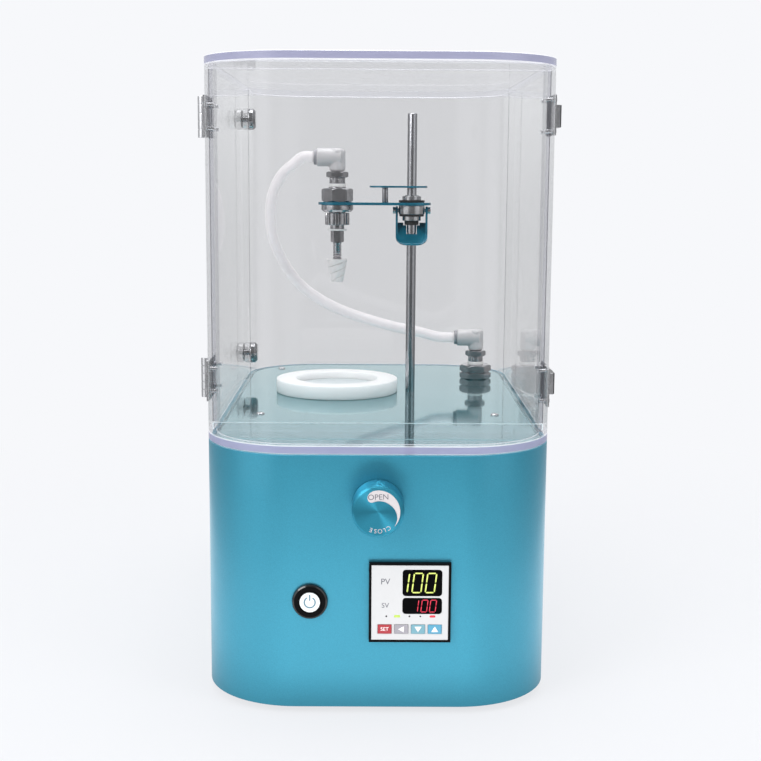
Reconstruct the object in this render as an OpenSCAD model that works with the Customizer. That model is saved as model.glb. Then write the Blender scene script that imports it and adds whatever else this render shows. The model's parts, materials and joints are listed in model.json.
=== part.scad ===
/* [Body] */
// Width of the body and of the clear cover
body_w = 208; // [200:1:226]
// Depth of the body and of the clear cover
body_d = 378; // [370:1:400]
// Height of the painted shell
body_h = 152; // [146:1:176]
// Radius of the upright corners
corner_r = 56; // [48:1:58]
// Sheet thickness of the shell
shell_t = 3; // [2:0.5:4]
// Width of the folded ledges inside the shell
ledge_w = 6; // [4:0.5:6]
// Thickness of the folded ledges
ledge_t = 2; // [1.5:0.5:3]
// Thickness of the base plate
base_t = 2.5; // [2:0.5:4]
// Thickness of the deck plate
deck_t = 4; // [3:0.5:5]
// Height of the rubber feet
foot_h = 4; // [3:0.5:8]
// Diameter of the rubber feet
foot_d = 20; // [14:1:26]
// Distance of the feet from the sides, front and back
foot_inset = 42; // [38:1:50]
// Diameter of the pillars between base plate and deck
post_d = 10; // [8:1:12]
// Distance of the pillars from the sides
post_side = 25; // [25:1:32]
// Distance of the front pillars behind the front
post_front = 135; // [128:1:140]
// Distance of the rear pillars before the back
post_back = 29; // [29:1:36]
// Thread diameter of the deck screws
deck_screw_d = 3; // [2:0.5:4]
// Head diameter of the deck screws
deck_head_d = 5.6; // [5:0.2:7]

/* [Cover] */
// Clear height between deck and top plate
cover_h = 223; // [222:1:250]
// Thickness of the clear walls
wall_t = 5; // [4:0.5:6]
// Thickness of the clear top and bottom plates
plate_t = 5; // [4:0.5:6]
// Depth of the door, from the front to the seam
seam_depth = 75; // [72:1:80]
// Depth of the rear panel, from its joint to the back
joint_depth = 93; // [78:1:108]
// Gap between the door and the fixed cover
seam_gap = 0.6; // [0.4:0.1:1]
// Gap under the bottom plate of the door
door_lift = 0.5; // [0.3:0.1:1]

/* [Hinges, catches and clamps] */
// Height of each hinge
hinge_h = 25; // [20:1:32]
// Height of the lower hinge above the deck
hinge_low = 34; // [28:1:44]
// Depth of the upper hinge below the top plate
hinge_high = 29; // [22:1:44]
// Diameter of the hinge knuckles
knuckle_d = 6.4; // [5:0.2:7]
// Gap between knuckle and wall
knuckle_gap = 0.4; // [0.3:0.1:1]
// Diameter of the hinge pins
pin_d = 3; // [2:0.2:3.6]
// Thickness of the hinge leaves and catch plates
leaf_t = 1.5; // [1:0.1:2]
// Width of the hinge leaves
leaf_w = 18; // [15:1:18]
// Height of each catch block
catch_h = 13.5; // [10:0.5:14]
// Height of the catch plates
catch_plate_h = 24; // [23:1:28]
// Length of the catches along the wall
catch_l = 17; // [14:1:18]
// How far the catch blocks stand off the wall
catch_proud = 6.8; // [5:0.2:8]
// Height of the lower catch above the deck
catch_low = 31; // [24:1:40]
// Depth of the upper catch below the top plate
catch_high = 27; // [18:1:40]
// Diameter of the screws in the clear walls
screw_d = 2.5; // [2:0.5:3]
// Head diameter of the screws in the clear walls
screw_head_d = 4.6; // [4:0.2:5]
// Head height of the screws in the clear walls
screw_head_h = 1.2; // [0.8:0.1:1.4]
// Diameter of the panel clamps
clamp_d = 16; // [12:0.5:18]
// Thickness of each clamp disc
clamp_t = 5.6; // [4:0.2:6.4]
// Diameter of the clamp bolts
clamp_bolt_d = 4; // [3:0.5:5]
// Height of the lower clamp above the deck
clamp_low = 22; // [16:1:30]
// Depth of the upper clamp below the top plate
clamp_high = 22; // [14:1:34]

/* [Heater] */
// Place of the heater and plug, left of the middle
heater_x = -30; // [-34:1:-28]
// Distance of heater and rod behind the front
bench_depth = 235; // [228:1:240]
// Outer diameter of the white ring
ring_d = 90; // [84:1:94]
// Height of the white ring
ring_h = 10; // [8:0.5:12]
// Diameter of the heated block
block_d = 58; // [50:1:62]
// How far the block stands above the deck
block_rise = 5; // [3:0.5:5.5]
// How far the block reaches below the deck
block_drop = 22; // [20:1:30]
// Gap round the block
block_gap = 0.8; // [0.5:0.1:1.5]
// Thickness of the heating disc
element_t = 3; // [2:0.5:5]
// Wall of the insulating cup
cup_t = 7; // [5:0.5:9]
// Diameter of the temperature probe
probe_d = 4; // [3:0.5:5]
// How far the probe sits inside the block
probe_in = 15; // [10:1:20]

/* [Rod and clamp] */
// Place of the rod, right of the middle
rod_x = 24.5; // [23:0.5:28]
// Diameter of the rod
rod_d = 7; // [6:0.5:7]
// How far the rod's top stays below the top plate
rod_h = 19; // [8:1:33]
// Depth of the boss that holds the rod
boss_h = 16; // [12:1:20]
// Diameter of the boss that holds the rod
boss_d = 20; // [16:1:22]
// Height of the arm's underside above the deck
arm_z = 138; // [130:1:142]
// Thickness of the arm
arm_t = 2; // [1.5:0.1:2.5]
// Radius of the arm's round ends
arm_r = 14; // [13:0.5:15]
// Distance between arm and finger plate
finger_gap = 10.6; // [9:0.2:11]
// Thickness of the finger plate
finger_t = 1.4; // [1:0.1:2]
// Radius of the finger plate's round ends
finger_r = 11.5; // [10:0.5:13]
// Distance of the spacer post from the rod
finger_post_out = 19.5; // [18:0.5:22]
// Diameter of the spacer post
finger_post_d = 4.4; // [3:0.2:6]
// Diameter of the clamp collar
collar_d = 19; // [18:0.2:19.4]
// Height of the clamp collar
collar_h = 6.5; // [6.5:0.1:7]
// Diameter of the collar's neck, above and below
neck_d = 13.6; // [12:0.2:14]
// Length of the neck under the collar
neck_h = 4.7; // [4:0.1:5]
// Diameter of the collar's threaded spigot
spigot_d = 11; // [10:0.2:12]
// Height of the black rings on the collar
washer_t = 1.5; // [1:0.1:1.8]
// Height of the round nut on the collar
round_nut_h = 2.9; // [2:0.1:3.4]
// Diameter of the round nut on the collar
round_nut_d = 14; // [13:0.2:15]
// Height of the rubber grip ring on the rod
grip_h = 3; // [2:0.2:3.4]
// Diameter of the rubber grip ring
grip_d = 10.4; // [9:0.2:10.8]

/* [Release lever] */
// Width of the lever over its cheeks
lever_w = 23.4; // [23:0.2:25]
// Thickness of the lever sheet
lever_t = 1.6; // [1.2:0.1:1.8]
// Diameter of the lever's pivot screws
pivot_d = 3; // [2:0.2:3.4]
// Depth of the pivot below the arm
pivot_drop = 3.9; // [3.8:0.1:4.2]
// Length of the lever's sloping tab
tab_l = 22; // [20:0.5:24]
// Radius of the tab's lower corners
tab_r = 8; // [5:0.5:9]
// Angle of the tab from the level
tab_slope = 43; // [40:1:46]

/* [Plug and union] */
// Diameter of the union's flange
flange_d = 23.4; // [22:0.2:25]
// Height of the union's flange
flange_h = 5.2; // [4:0.2:6]
// Chamfer under the union's flange
flange_edge = 1.6; // [0.8:0.2:2.4]
// Thread diameter of the union
union_d = 13; // [12:0.2:14]
// Width across flats of the union nut
union_nut_af = 20.5; // [18:0.5:23]
// Height of the union nut
union_nut_h = 10; // [8:0.2:12]
// Diameter of the fluted nut
fluted_d = 18; // [17:0.2:19]
// Height of the fluted nut
fluted_h = 8.8; // [8:0.2:10]
// Number of flutes
flutes = 14; // [8:1:18]
// Diameter of the stem's neck
stem_neck_d = 10.2; // [9:0.2:10.6]
// Length of the stem's neck below the fluted nut
stem_neck_h = 3; // [2:0.2:4]
// Width across flats of the stem's hexagon
stem_af = 8.4; // [7:0.2:9]
// Height of the stem's hexagon
stem_hex_h = 8.6; // [7:0.2:10]
// Diameter of the ribbed stem
stem_d = 6.6; // [6:0.2:7]
// Length of the ribbed stem
stem_l = 13; // [10:0.5:16]
// Number of ribs on the stem
stem_ribs = 6; // [4:1:8]
// Diameter of the stem's tip inside the plug
stem_tip_d = 4.6; // [4:0.2:5]
// Length of the stem's tip inside the plug
stem_tip_l = 8; // [6:0.5:10]
// Upper diameter of the spiral plug
plug_top_d = 15; // [13:0.5:17]
// Lower diameter of the spiral plug
plug_low_d = 8.8; // [8:0.2:10]
// Height of the spiral plug
plug_h = 16.6; // [14:0.2:18]
// Thickness of the white seals
seal_t = 2.4; // [1.8:0.1:3]
// Thickness of the thin washer on the stem
stem_washer_t = 1.1; // [0.8:0.1:1.5]

/* [Hose fittings] */
// Distance of the deck port from the right side
port_x = 25.7; // [24:0.1:30]
// Distance of the deck port from the back
port_depth = 76; // [72:1:82]
// Width across flats of the deck port
port_af = 21.6; // [19:0.2:24]
// Height of the deck port above the deck
port_h = 11.2; // [9:0.2:13]
// Thread diameter of the deck port
port_d = 14; // [13:0.2:15]
// Thread length of the deck port below the deck
port_drop = 14; // [12:1:18]
// Outer diameter of the hose
tube_d = 8; // [6:0.5:8]
// Bore of the fittings
bore_d = 5; // [3:0.5:5.5]
// Lower diameter of the elbow's metal base
foot_nut_d = 11.6; // [11:0.1:12.4]
// Lower height of the elbow's metal base
foot_nut_h = 4.4; // [3:0.1:5]
// Width across flats of the elbow's metal base
elbow_af = 14; // [13:0.2:16]
// Height of the elbow's hexagon
elbow_hex_h = 4.4; // [3:0.1:5]
// Diameter of the elbow's upright
elbow_d = 11.8; // [11:0.2:13]
// Diameter of the elbow's branch
branch_d = 13.2; // [12:0.2:14]
// Height of the branch above the hexagon
branch_h = 10.2; // [9:0.2:12]
// Distance from the upright's axis to the mouth
branch_l = 17.2; // [15:0.2:19]
// Diameter of the mouth ring
mouth_d = 11; // [10:0.2:12]
// Length of the mouth ring
mouth_l = 2.2; // [1.5:0.1:3]

/* [Front panel] */
// Diameter of the valve knob
knob_d = 30; // [26:0.5:34]
// Length of the valve knob
knob_l = 17; // [14:0.5:20]
// Gap between knob and panel
knob_gap = 1; // [0.8:0.1:1.5]
// Depth of the knob's axis below the deck
knob_drop = 28.8; // [26:0.2:32]
// Diameter of the valve spindle
spindle_d = 6; // [5:0.5:7]
// How deep the spindle sits in the knob
spindle_in = 11; // [8:0.5:12]
// Width and height of the valve block
valve_w = 26; // [22:1:28]
// Length of the valve block
valve_l = 34; // [32:1:40]
// Depth of the panel row below the deck
panel_drop = 87; // [84:0.5:90]
// Place of the power button, left of the middle
button_x = -39.5; // [-45:0.5:-36]
// Diameter of the button's bezel
bezel_d = 21; // [19:0.5:24]
// Height of the button's bezel
bezel_h = 2.6; // [2:0.1:3.4]
// Diameter of the button's cap
cap_d = 12.8; // [11:0.2:13.4]
// Travel of the button's cap
cap_travel = 2.5; // [1.5:0.1:3]
// Place of the controller, right of the middle
controller_x = 19; // [16:0.5:22]
// Width and height of the controller's bezel
controller_w = 48; // [46:0.5:49]
// Height of the controller's bezel
controller_h = 3; // [2.4:0.1:4]
// Depth of the controller behind the panel
controller_d = 62; // [50:1:80]
// Border of the controller's bezel
border = 1.4; // [1.2:0.1:1.6]
// Thickness of the controller's face
face_t = 1.2; // [1:0.1:1.6]
// Width of a key
key_w = 8; // [7:0.1:8.6]
// Height of a key
key_h = 5.4; // [4:0.1:6]
// Distance from key to key
key_pitch = 9.8; // [9.4:0.1:10]
// Travel of a key
key_travel = 0.4; // [0.3:0.05:0.5]
// How far the keys stand out of the face
key_proud = 0.4; // [0.4:0.05:0.6]
// Width of the display windows
window_w = 23; // [20:0.2:25]
// Height of the upper display window
window_high = 15.8; // [13:0.2:16]
// Height of the lower display window
window_low = 9.6; // [8:0.2:10]

/* [Rear panel] */
// Place of the vacuum outlet, left of the middle
outlet_x = -36; // [-38:1:-30]
// Height of the vacuum outlet
outlet_z = 100; // [90:1:110]
// How far the vacuum outlet stands out
outlet_l = 18; // [16:0.5:22]
// Diameter of the vacuum outlet
outlet_d = 15; // [13:0.5:18]
// Depth of the hose socket in the outlet
socket_l = 14; // [12:0.5:15]
// Place of the mains inlet, right of the middle
inlet_x = 20; // [12:1:22]
// Height of the mains inlet
inlet_z = 44; // [38:1:60]
// Width of the mains inlet's socket
inlet_w = 24.5; // [24:0.1:25]
// Height of the mains inlet's socket
inlet_h = 16; // [15.6:0.1:16.6]
// Depth of the mains inlet's socket
inlet_deep = 17; // [16:0.5:19]
// Length of the mains pins
inlet_pin_l = 11.5; // [10:0.5:12]
// Wall of the mains inlet
inlet_t = 1.6; // [1.2:0.1:2.4]
// Width of the mains inlet's flange
inlet_flange_w = 48; // [44:1:52]
// Thickness of the mains inlet's flange
inlet_flange_t = 3; // [2:0.5:4]

/* [Hidden] */
$fn = 64;

// Clearances: plates in the shell, shafts in bores, flat faces that slide
fit_gap = 0.3;
run_gap = 0.05;
slide_gap = 0.1;
// Overlap that joins two shapes of one piece
join = 0.2;

// Main levels and planes
deck_z = foot_h + body_h;
deck_under = deck_z - deck_t;
base_top = foot_h + base_t;
front_y = -body_d / 2;
back_y = body_d / 2;
side_x = body_w / 2;
seam_y = front_y + seam_depth;
joint_y = back_y - joint_depth;
bench_y = front_y + bench_depth;
port_at = [side_x - port_x, back_y - port_depth];
cover_z = deck_z + cover_h;

// Pillars of the deck
post_x = side_x - post_side;
post_places = [for (x = [-post_x, post_x], y = [front_y + post_front, back_y - post_back]) [x, y]];
deck_screw_l = 10;
deck_screw_in = 8;
deck_head_h = 1.2;
foot_taper = 3;

// Hinges on the left wall, catches on the right wall, clamps on the left wall
hinge_zs = [deck_z + hinge_low, cover_z - hinge_high];
catch_zs = [deck_z + catch_low, cover_z - catch_high];
clamp_zs = [deck_z + clamp_low, cover_z - clamp_high];
hinge_x = -side_x - knuckle_gap - knuckle_d / 2;
knuckles = 5;
knuckle_pitch = hinge_h / knuckles;
leaf_hole = leaf_w * 0.62;
leaf_hole_z = hinge_h * 0.28;
catch_hole_z = (catch_plate_h + catch_h) / 4;

// Heater stack, from the deck down
block_z = deck_z - block_drop;
element_z = block_z - element_t;
cup_z = element_z - cup_t;
cup_d = block_d + 2 * block_gap + 2 * cup_t;
probe_lift = 2;
probe_z = block_z + probe_d + probe_lift;
probe_tip_y = bench_y - block_d / 2 + probe_in;
probe_out = 18;
element_d = block_d - 4;

// Clamp on the rod
rod_l = cover_h - rod_h;
arm_under = deck_z + arm_z;
arm_top = arm_under + arm_t;
finger_z = arm_top + finger_gap;
collar_z = arm_under - slide_gap - collar_h;
neck_z = collar_z - neck_h;
washer_z = arm_top + slide_gap;
round_nut_z = washer_z + washer_t;
spigot_proud = 0.6;
spigot_top = round_nut_z + round_nut_h + spigot_proud;
snap_ring_d = collar_d - 1;
nut_slot = [1.6, 2.4];
finger_hole_d = rod_d + 2;
pivot_z = arm_under - pivot_drop;
lever_reach = lever_w / 2;
pivot_wall = 1.6;
pivot_in = rod_d / 2 + pivot_wall;
pivot_head_d = 5;
pivot_head_h = 2;
tab_drop = 14;
fork_gap = 0.7;
fork_room = 0.9;
fork_w = grip_d + 2 * fork_gap;
fork_front = rod_d / 2 + fork_room;

// Plug stack, from the arm down and up
flange_z = arm_under - flange_h;
fluted_gap = 0.7;
fluted_z = flange_z - fluted_gap - fluted_h;
fluted_floor = 2;
flute_d = 2.4;
flute_out = 0.4;
union_in = 3;
stem_neck_in = 2.8;
stem_waist_d = stem_af - 0.4;
stem_washer_d = stem_neck_d + 3.6;
rib_h = 0.7;
plug_lap = 0.7;
groove_d = 2.6;
groove_out = 0.3;
plug_twist = 400;
plug_slices = 36;
stem_neck_z = fluted_z - stem_neck_h;
stem_washer_z = stem_neck_z - stem_washer_t;
stem_hex_z = stem_washer_z - stem_hex_h;
stem_z = stem_hex_z - stem_l;
plug_z = stem_z + plug_lap - plug_h;
plug_bore_d = stem_tip_d + 0.2;
plug_mouth_d = stem_d + 0.4;
plug_tip_room = 0.3;
union_proud = 0.8;
union_top = arm_top + union_nut_h + union_proud;
union_turn = 12;
fluted_bore_d = union_d - 1;
seal_top = union_top + seal_t;

// Nut, gaskets and their bores
lock_nut_h = 6;
lock_nut_af = port_af - 1;
gasket_bore_d = bore_d + 2;
port_gasket_d = foot_nut_d + 1;
plug_gasket_d = foot_nut_d + 0.8;

// Hose route above the deck, between its two straight ends
hose_top = [heater_x - branch_l, bench_y, seal_top + foot_nut_h + elbow_hex_h + branch_h];
port_branch_z = deck_z + port_h + seal_t + foot_nut_h + elbow_hex_h + branch_h;
hose_low = [port_at[0] - branch_l, port_at[1], port_branch_z];
hose_middle = [
    [-62, 46, 167], [-70, 48, 160], [-76, 51, 150], [-79, 54, 140], [-80, 58, 128],
    [-79, 63, 115], [-75, 69, 102], [-68, 76, 88], [-58, 83, 75], [-44, 90, 64],
    [-27, 96, 55], [-8, 101, 48], [12, 105, 42], [32, 109, 37.5],
];
hose_path = concat(
    [hose_top, hose_top - [tube_d, 0, 0]],
    [for (p = hose_middle) [p[0], p[1], p[2] + deck_z]],
    [hose_low - [2 * tube_d, 0, -1], hose_low - [tube_d, 0, 0], hose_low]
);

// Front panel
knob_z = deck_z - knob_drop;
panel_z = deck_z - panel_drop;
valve_neck_d = 11.6;
valve_neck_proud = 0.5;
valve_bore_d = 4;
valve_y = front_y + shell_t;
valve_port_y = valve_y + valve_l / 2;
spindle_end_y = valve_y + valve_l * 0.7;
button_hole_d = cap_d + 3.4;
button_barrel_l = 26;
cap_l = 5;
cap_proud = 0.3;
cap_room = 0.3;
bezel_edge = 0.8;
bezel_land = 1.6;
knob_edge = 1.2;
knob_rim = 0.8;
knob_dish = 1;
case_w = controller_w - 3.4;
face_w = controller_w - 2 * border;
face_recess = 0.3;
face_back_y = front_y - controller_h + face_recess + face_t;
key_z = panel_z - controller_w / 3;
key_gap = 0.15;
window_x = controller_x + controller_w * 0.15;
window_high_z = panel_z + controller_w / 4;
window_low_z = panel_z - controller_w * 0.04;
window_r = 2;

// Relay on the base plate
relay_size = [60, 45, 22];
relay_at = [-30, -30];

// Rear panel
outlet_flange_d = outlet_d + 3;
outlet_flange_t = 3;
outlet_thread_d = outlet_d - 2;
outlet_tail = 12;
outlet_nut_af = outlet_d + 2;
outlet_nut_h = 5;
inlet_floor_t = 3;
inlet_flange_rim = 2;
inlet_outer_w = inlet_w + 2 * inlet_t;
inlet_outer_h = inlet_h + 2 * inlet_t;
inlet_pin = [2, 4];
inlet_pin_places = [[-7, -2], [0, 2], [7, -2]];

// Inner tubes of the valve, between their straight ends
inner_tube_d = 6;
port_end = [port_at[0], port_at[1], deck_under - port_drop];
valve_right = [valve_w / 2, valve_port_y, knob_z];
valve_left = [-valve_w / 2, valve_port_y, knob_z];
outlet_end = [outlet_x, back_y - shell_t - outlet_tail, outlet_z];
tube_reach = 60;
tube_rings = 14;
inlet_tube_path = tube_run(port_end, [0, 0, -1], valve_right, [1, 0, 0]);
outlet_tube_path = tube_run(valve_left, [-1, 0, 0], outlet_end, [0, -1, 0]);

// Colours
blue_paint = [0.20, 0.53, 0.65];
dark_teal = [0.06, 0.36, 0.45];
clear = [0.85, 0.86, 0.90, 0.35];
clear_edge = [0.66, 0.66, 0.80, 0.6];
nickel = [0.55, 0.55, 0.58];
steel = [0.70, 0.70, 0.72];
white = [0.95, 0.96, 0.96];
black = [0.07, 0.07, 0.08];

// Outline of the body seen from above, drawn in by inset
module outline(inset = 0) {
    w = body_w - 2 * inset;
    d = body_d - 2 * inset;
    r = corner_r - inset;
    square([w - 2 * r, d], center = true);
    square([w, d - 2 * r], center = true);
    for (x = [-1, 1], y = [-1, 1])
        translate([x * (w / 2 - r), y * (d / 2 - r)])
            circle(r, $fn = 96);
}

// Everything between two depths
module band(y0, y1) {
    translate([-body_w, y0])
        square([2 * body_w, y1 - y0]);
}

module slab(z, h, inset) {
    translate([0, 0, z])
        linear_extrude(h)
            outline(inset);
}

module plate_slice(z, h, y0, y1) {
    translate([0, 0, z])
        linear_extrude(h)
            intersection() {
                outline();
                band(y0, y1);
            }
}

module wall_slice(z, h, y0, y1) {
    translate([0, 0, z])
        linear_extrude(h)
            intersection() {
                difference() {
                    outline();
                    outline(wall_t);
                }
                band(y0, y1);
            }
}

module block(size, centre) {
    translate(centre)
        cube(size, center = true);
}

// Round bar along Y from y0 to y1
module bar_y(x, z, d, y0, y1) {
    translate([x, y0, z])
        rotate([-90, 0, 0])
            cylinder(d = d, h = y1 - y0);
}

// Round bar along X from x0 to x1
module bar_x(y, z, d, x0, x1) {
    translate([x0, y, z])
        rotate([0, 90, 0])
            cylinder(d = d, h = x1 - x0);
}

module hexagon(af, h) {
    cylinder(d = af / cos(30), h = h, $fn = 6);
}

module ring(d, bore, h) {
    difference() {
        cylinder(d = d, h = h);
        translate([0, 0, -1])
            cylinder(d = bore, h = h + 2);
    }
}

// Plate with two round ends, from x0 to x1
module round_bar(x0, x1, r, h) {
    linear_extrude(h)
        union() {
            translate([x0, -r])
                square([x1 - x0, 2 * r]);
            translate([x0, 0])
                circle(r);
            translate([x1, 0])
                circle(r);
        }
}

module at_rod(z) {
    translate([rod_x, bench_y, z])
        children();
}

module at_plug(z) {
    translate([heater_x, bench_y, z])
        children();
}

module at_port(z) {
    translate([port_at[0], port_at[1], z])
        children();
}

// Screw through a plate and a clear wall; side is -1 on the left and 1 on the right
module wall_screw(side, y, z) {
    translate([side * (side_x - wall_t), y, z])
        rotate([0, side * 90, 0]) {
            cylinder(d = screw_d, h = wall_t + leaf_t + join, $fn = 32);
            translate([0, 0, wall_t + leaf_t])
                cylinder(d = screw_head_d, h = screw_head_h, $fn = 32);
        }
}

module wall_hole(side, y, z, d) {
    reach = wall_t + leaf_t + 2;
    translate([side * (side_x - wall_t - 1), y, z])
        rotate([0, side * 90, 0])
            cylinder(d = d + 2 * run_gap, h = reach, $fn = 32);
}

module hinge_holes(way) {
    for (z = hinge_zs, dz = [-leaf_hole_z, leaf_hole_z])
        wall_hole(-1, seam_y + way * leaf_hole, z + dz, screw_d);
}

module catch_holes(way) {
    for (z = catch_zs, dz = [-catch_hole_z, catch_hole_z])
        wall_hole(1, seam_y + way * catch_l / 2, z + dz, screw_d);
}

module wall_screws(way) {
    for (z = hinge_zs, dz = [-leaf_hole_z, leaf_hole_z])
        wall_screw(-1, seam_y + way * leaf_hole, z + dz);
    for (z = catch_zs, dz = [-catch_hole_z, catch_hole_z])
        wall_screw(1, seam_y + way * catch_l / 2, z + dz);
}

// One hinge leaf: way is 1 on the fixed cover and -1 on the door, own lists its knuckles
module hinge_leaf(z, way, own) {
    far = way * leaf_w;
    near = way * seam_gap / 2;
    notch = way * (knuckle_d / 2 + knuckle_gap);
    difference() {
        union() {
            translate([-side_x - leaf_t, seam_y + min(notch, far), z - hinge_h / 2])
                cube([leaf_t, abs(far - notch), hinge_h]);
            for (i = own)
                translate([0, 0, z - hinge_h / 2 + i * knuckle_pitch + slide_gap]) {
                    translate([-side_x - leaf_t, seam_y + min(near, notch * 1.5), 0])
                        cube([leaf_t, abs(notch * 1.5 - near), knuckle_pitch - 2 * slide_gap]);
                    translate([hinge_x, seam_y, 0])
                        cylinder(d = knuckle_d, h = knuckle_pitch - 2 * slide_gap);
                }
        }
        translate([hinge_x, seam_y, z - hinge_h])
            cylinder(d = pin_d + 2 * run_gap, h = 2 * hinge_h);
        hinge_holes(way);
    }
}

// Catch or strike plate: way is 1 on the fixed cover and -1 on the door
module catch_plate(z, way) {
    near = way * seam_gap / 2;
    far = way * catch_l;
    translate([side_x, seam_y + min(near, far), z - catch_plate_h / 2])
        cube([leaf_t, abs(far - near), catch_plate_h]);
}

// White push-in elbow standing on its hexagon, with the branch towards -X
module elbow() {
    difference() {
        union() {
            cylinder(d = elbow_d, h = branch_h);
            translate([0, 0, branch_h])
                sphere(d = elbow_d);
            translate([0, 0, branch_h])
                rotate([0, -90, 0])
                    cylinder(d = branch_d, h = branch_l - mouth_l);
            translate([0, 0, branch_h])
                rotate([0, -90, 0])
                    cylinder(d = mouth_d, h = branch_l);
        }
        translate([0, 0, -1])
            cylinder(d = bore_d, h = branch_h + 1);
        translate([0, 0, branch_h])
            rotate([0, -90, 0])
                cylinder(d = bore_d, h = branch_l + 1);
    }
}

// Metal base of an elbow: round below, hexagon above
module elbow_base() {
    difference() {
        union() {
            cylinder(d = foot_nut_d, h = foot_nut_h + join);
            translate([0, 0, foot_nut_h])
                hexagon(elbow_af, elbow_hex_h);
        }
        translate([0, 0, -1])
            cylinder(d = bore_d, h = foot_nut_h + elbow_hex_h + 2);
    }
}

// Round tube swept along a list of points
function unit(v) = v / norm(v);
function tangent(p, i) = unit(p[min(i + 1, len(p) - 1)] - p[max(i - 1, 0)]);
function square_to(n, t) = unit(n - (n * t) * t);
function normals(p, n, i = 0) =
    i == len(p) ? [] : let (m = square_to(n, tangent(p, i))) concat([m], normals(p, m, i + 1));

// Inner tube from a to b that leaves each end straight, along way_a and way_b
function bezier(a, b, c, d, t) =
    pow(1 - t, 3) * a + 3 * t * pow(1 - t, 2) * b + 3 * t * t * (1 - t) * c + pow(t, 3) * d;
function tube_run(a, way_a, b, way_b) =
    let (
        from = a + inner_tube_d * way_a,
        to = b + inner_tube_d * way_b
    )
    concat(
        [a],
        [
            for (i = [0:tube_rings])
                bezier(from, from + tube_reach * way_a, to + tube_reach * way_b, to, i / tube_rings)
        ],
        [b]
    );

module swept_tube(p, d, sides) {
    side = normals(p, [0.1, 1, 0.2]);
    last = len(p) - 1;
    points = [
        for (i = [0:last], k = [0:sides - 1])
            let (t = tangent(p, i), a = 360 * k / sides)
            p[i] + d / 2 * (cos(a) * side[i] + sin(a) * cross(t, side[i]))
    ];
    walls = [
        for (i = [0:last - 1], k = [0:sides - 1], half = [0, 1])
            let (a = i * sides + k, b = i * sides + (k + 1) % sides)
            half == 0 ? [a, a + sides, b + sides] : [a, b + sides, b]
    ];
    ends = [
        for (k = [1:sides - 2], far = [0, 1])
            far == 0 ? [0, k, k + 1] : [last * sides, last * sides + k + 1, last * sides + k]
    ];
    polyhedron(points, concat(walls, ends));
}

// Body

module base_plate() color("silver")
    slab(foot_h, base_t, shell_t + fit_gap);

module rubber_feet() color(black)
    for (x = [-1, 1], y = [-1, 1])
        translate([x * (side_x - foot_inset), y * (back_y - foot_inset), 0])
            cylinder(d1 = foot_d - foot_taper, d2 = foot_d, h = foot_h);

module body_shell() color(blue_paint)
    difference() {
        slab(foot_h, body_h, 0);
        slab(foot_h - 1, base_t + 1, shell_t);
        slab(foot_h - 1, body_h + 2, shell_t + ledge_w);
        slab(base_top + ledge_t, body_h - base_t - deck_t - 2 * ledge_t, shell_t);
        slab(deck_under, deck_t + 1, shell_t);
        bar_y(0, knob_z, valve_neck_d + 2 * fit_gap, front_y - 1, valve_y + 1);
        bar_y(button_x, panel_z, button_hole_d + 2 * fit_gap, front_y - 1, valve_y + 1);
        block([case_w + 2 * fit_gap, 3 * shell_t, case_w + 2 * fit_gap], [controller_x, front_y, panel_z]);
        bar_y(outlet_x, outlet_z, outlet_thread_d + 2 * fit_gap, back_y - shell_t - 1, back_y + 1);
        block(
            [inlet_outer_w + 2 * fit_gap, 3 * shell_t, inlet_outer_h + 2 * fit_gap],
            [inlet_x, back_y, inlet_z]
        );
    }

module deck_plate() color([0.45, 0.66, 0.72])
    difference() {
        slab(deck_under, deck_t, shell_t + fit_gap);
        translate([heater_x, bench_y, deck_under - 1])
            cylinder(d = block_d + 2 * block_gap, h = deck_t + 2);
        at_rod(deck_under - 1)
            cylinder(d = rod_d + 2 * run_gap, h = deck_t + 2);
        at_port(deck_under - 1)
            cylinder(d = port_d + 2 * run_gap, h = deck_t + 2);
        for (p = post_places)
            translate([p[0], p[1], deck_under - 1])
                cylinder(d = deck_screw_d + 2 * run_gap, h = deck_t + 2);
    }

module deck_posts() color("silver")
    for (p = post_places)
        translate([p[0], p[1], base_top])
            difference() {
                cylinder(d = post_d, h = deck_under - base_top);
                translate([0, 0, deck_under - base_top - deck_screw_l])
                    cylinder(d = deck_screw_d + 2 * run_gap, h = deck_screw_l + 1);
            }

module deck_screws() color(steel)
    for (p = post_places)
        translate([p[0], p[1], deck_under]) {
            translate([0, 0, -deck_screw_in])
                cylinder(d = deck_screw_d, h = deck_screw_in + deck_t + join);
            translate([0, 0, deck_t])
                cylinder(d = deck_head_d, h = deck_head_h);
        }

// Heater

module heater_block() color("lightgray")
    difference() {
        at_plug(block_z)
            cylinder(d = block_d, h = block_drop + block_rise);
        bar_y(heater_x, probe_z, probe_d + 2 * run_gap, bench_y - block_d, probe_tip_y + run_gap);
    }

module heater_element() color([0.75, 0.35, 0.2])
    at_plug(element_z)
        cylinder(d = element_d, h = element_t);

module heater_insulation() color([0.85, 0.82, 0.75])
    difference() {
        at_plug(cup_z)
            cylinder(d = cup_d, h = deck_under - cup_z);
        at_plug(element_z)
            cylinder(d = block_d + 2 * block_gap, h = block_drop + element_t);
        bar_y(heater_x, probe_z, probe_d + 2 * fit_gap, bench_y - cup_d, bench_y);
    }

module heater_ring() color(white)
    at_plug(deck_z)
        ring(ring_d, block_d + 2 * block_gap, ring_h);

module temperature_probe() color(steel)
    bar_y(heater_x, probe_z, probe_d, bench_y - cup_d / 2 - probe_out, probe_tip_y);

// Rod and deck port

module support_rod() color(steel)
    at_rod(deck_under - boss_h)
        cylinder(d = rod_d, h = boss_h + deck_t + rod_l);

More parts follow.
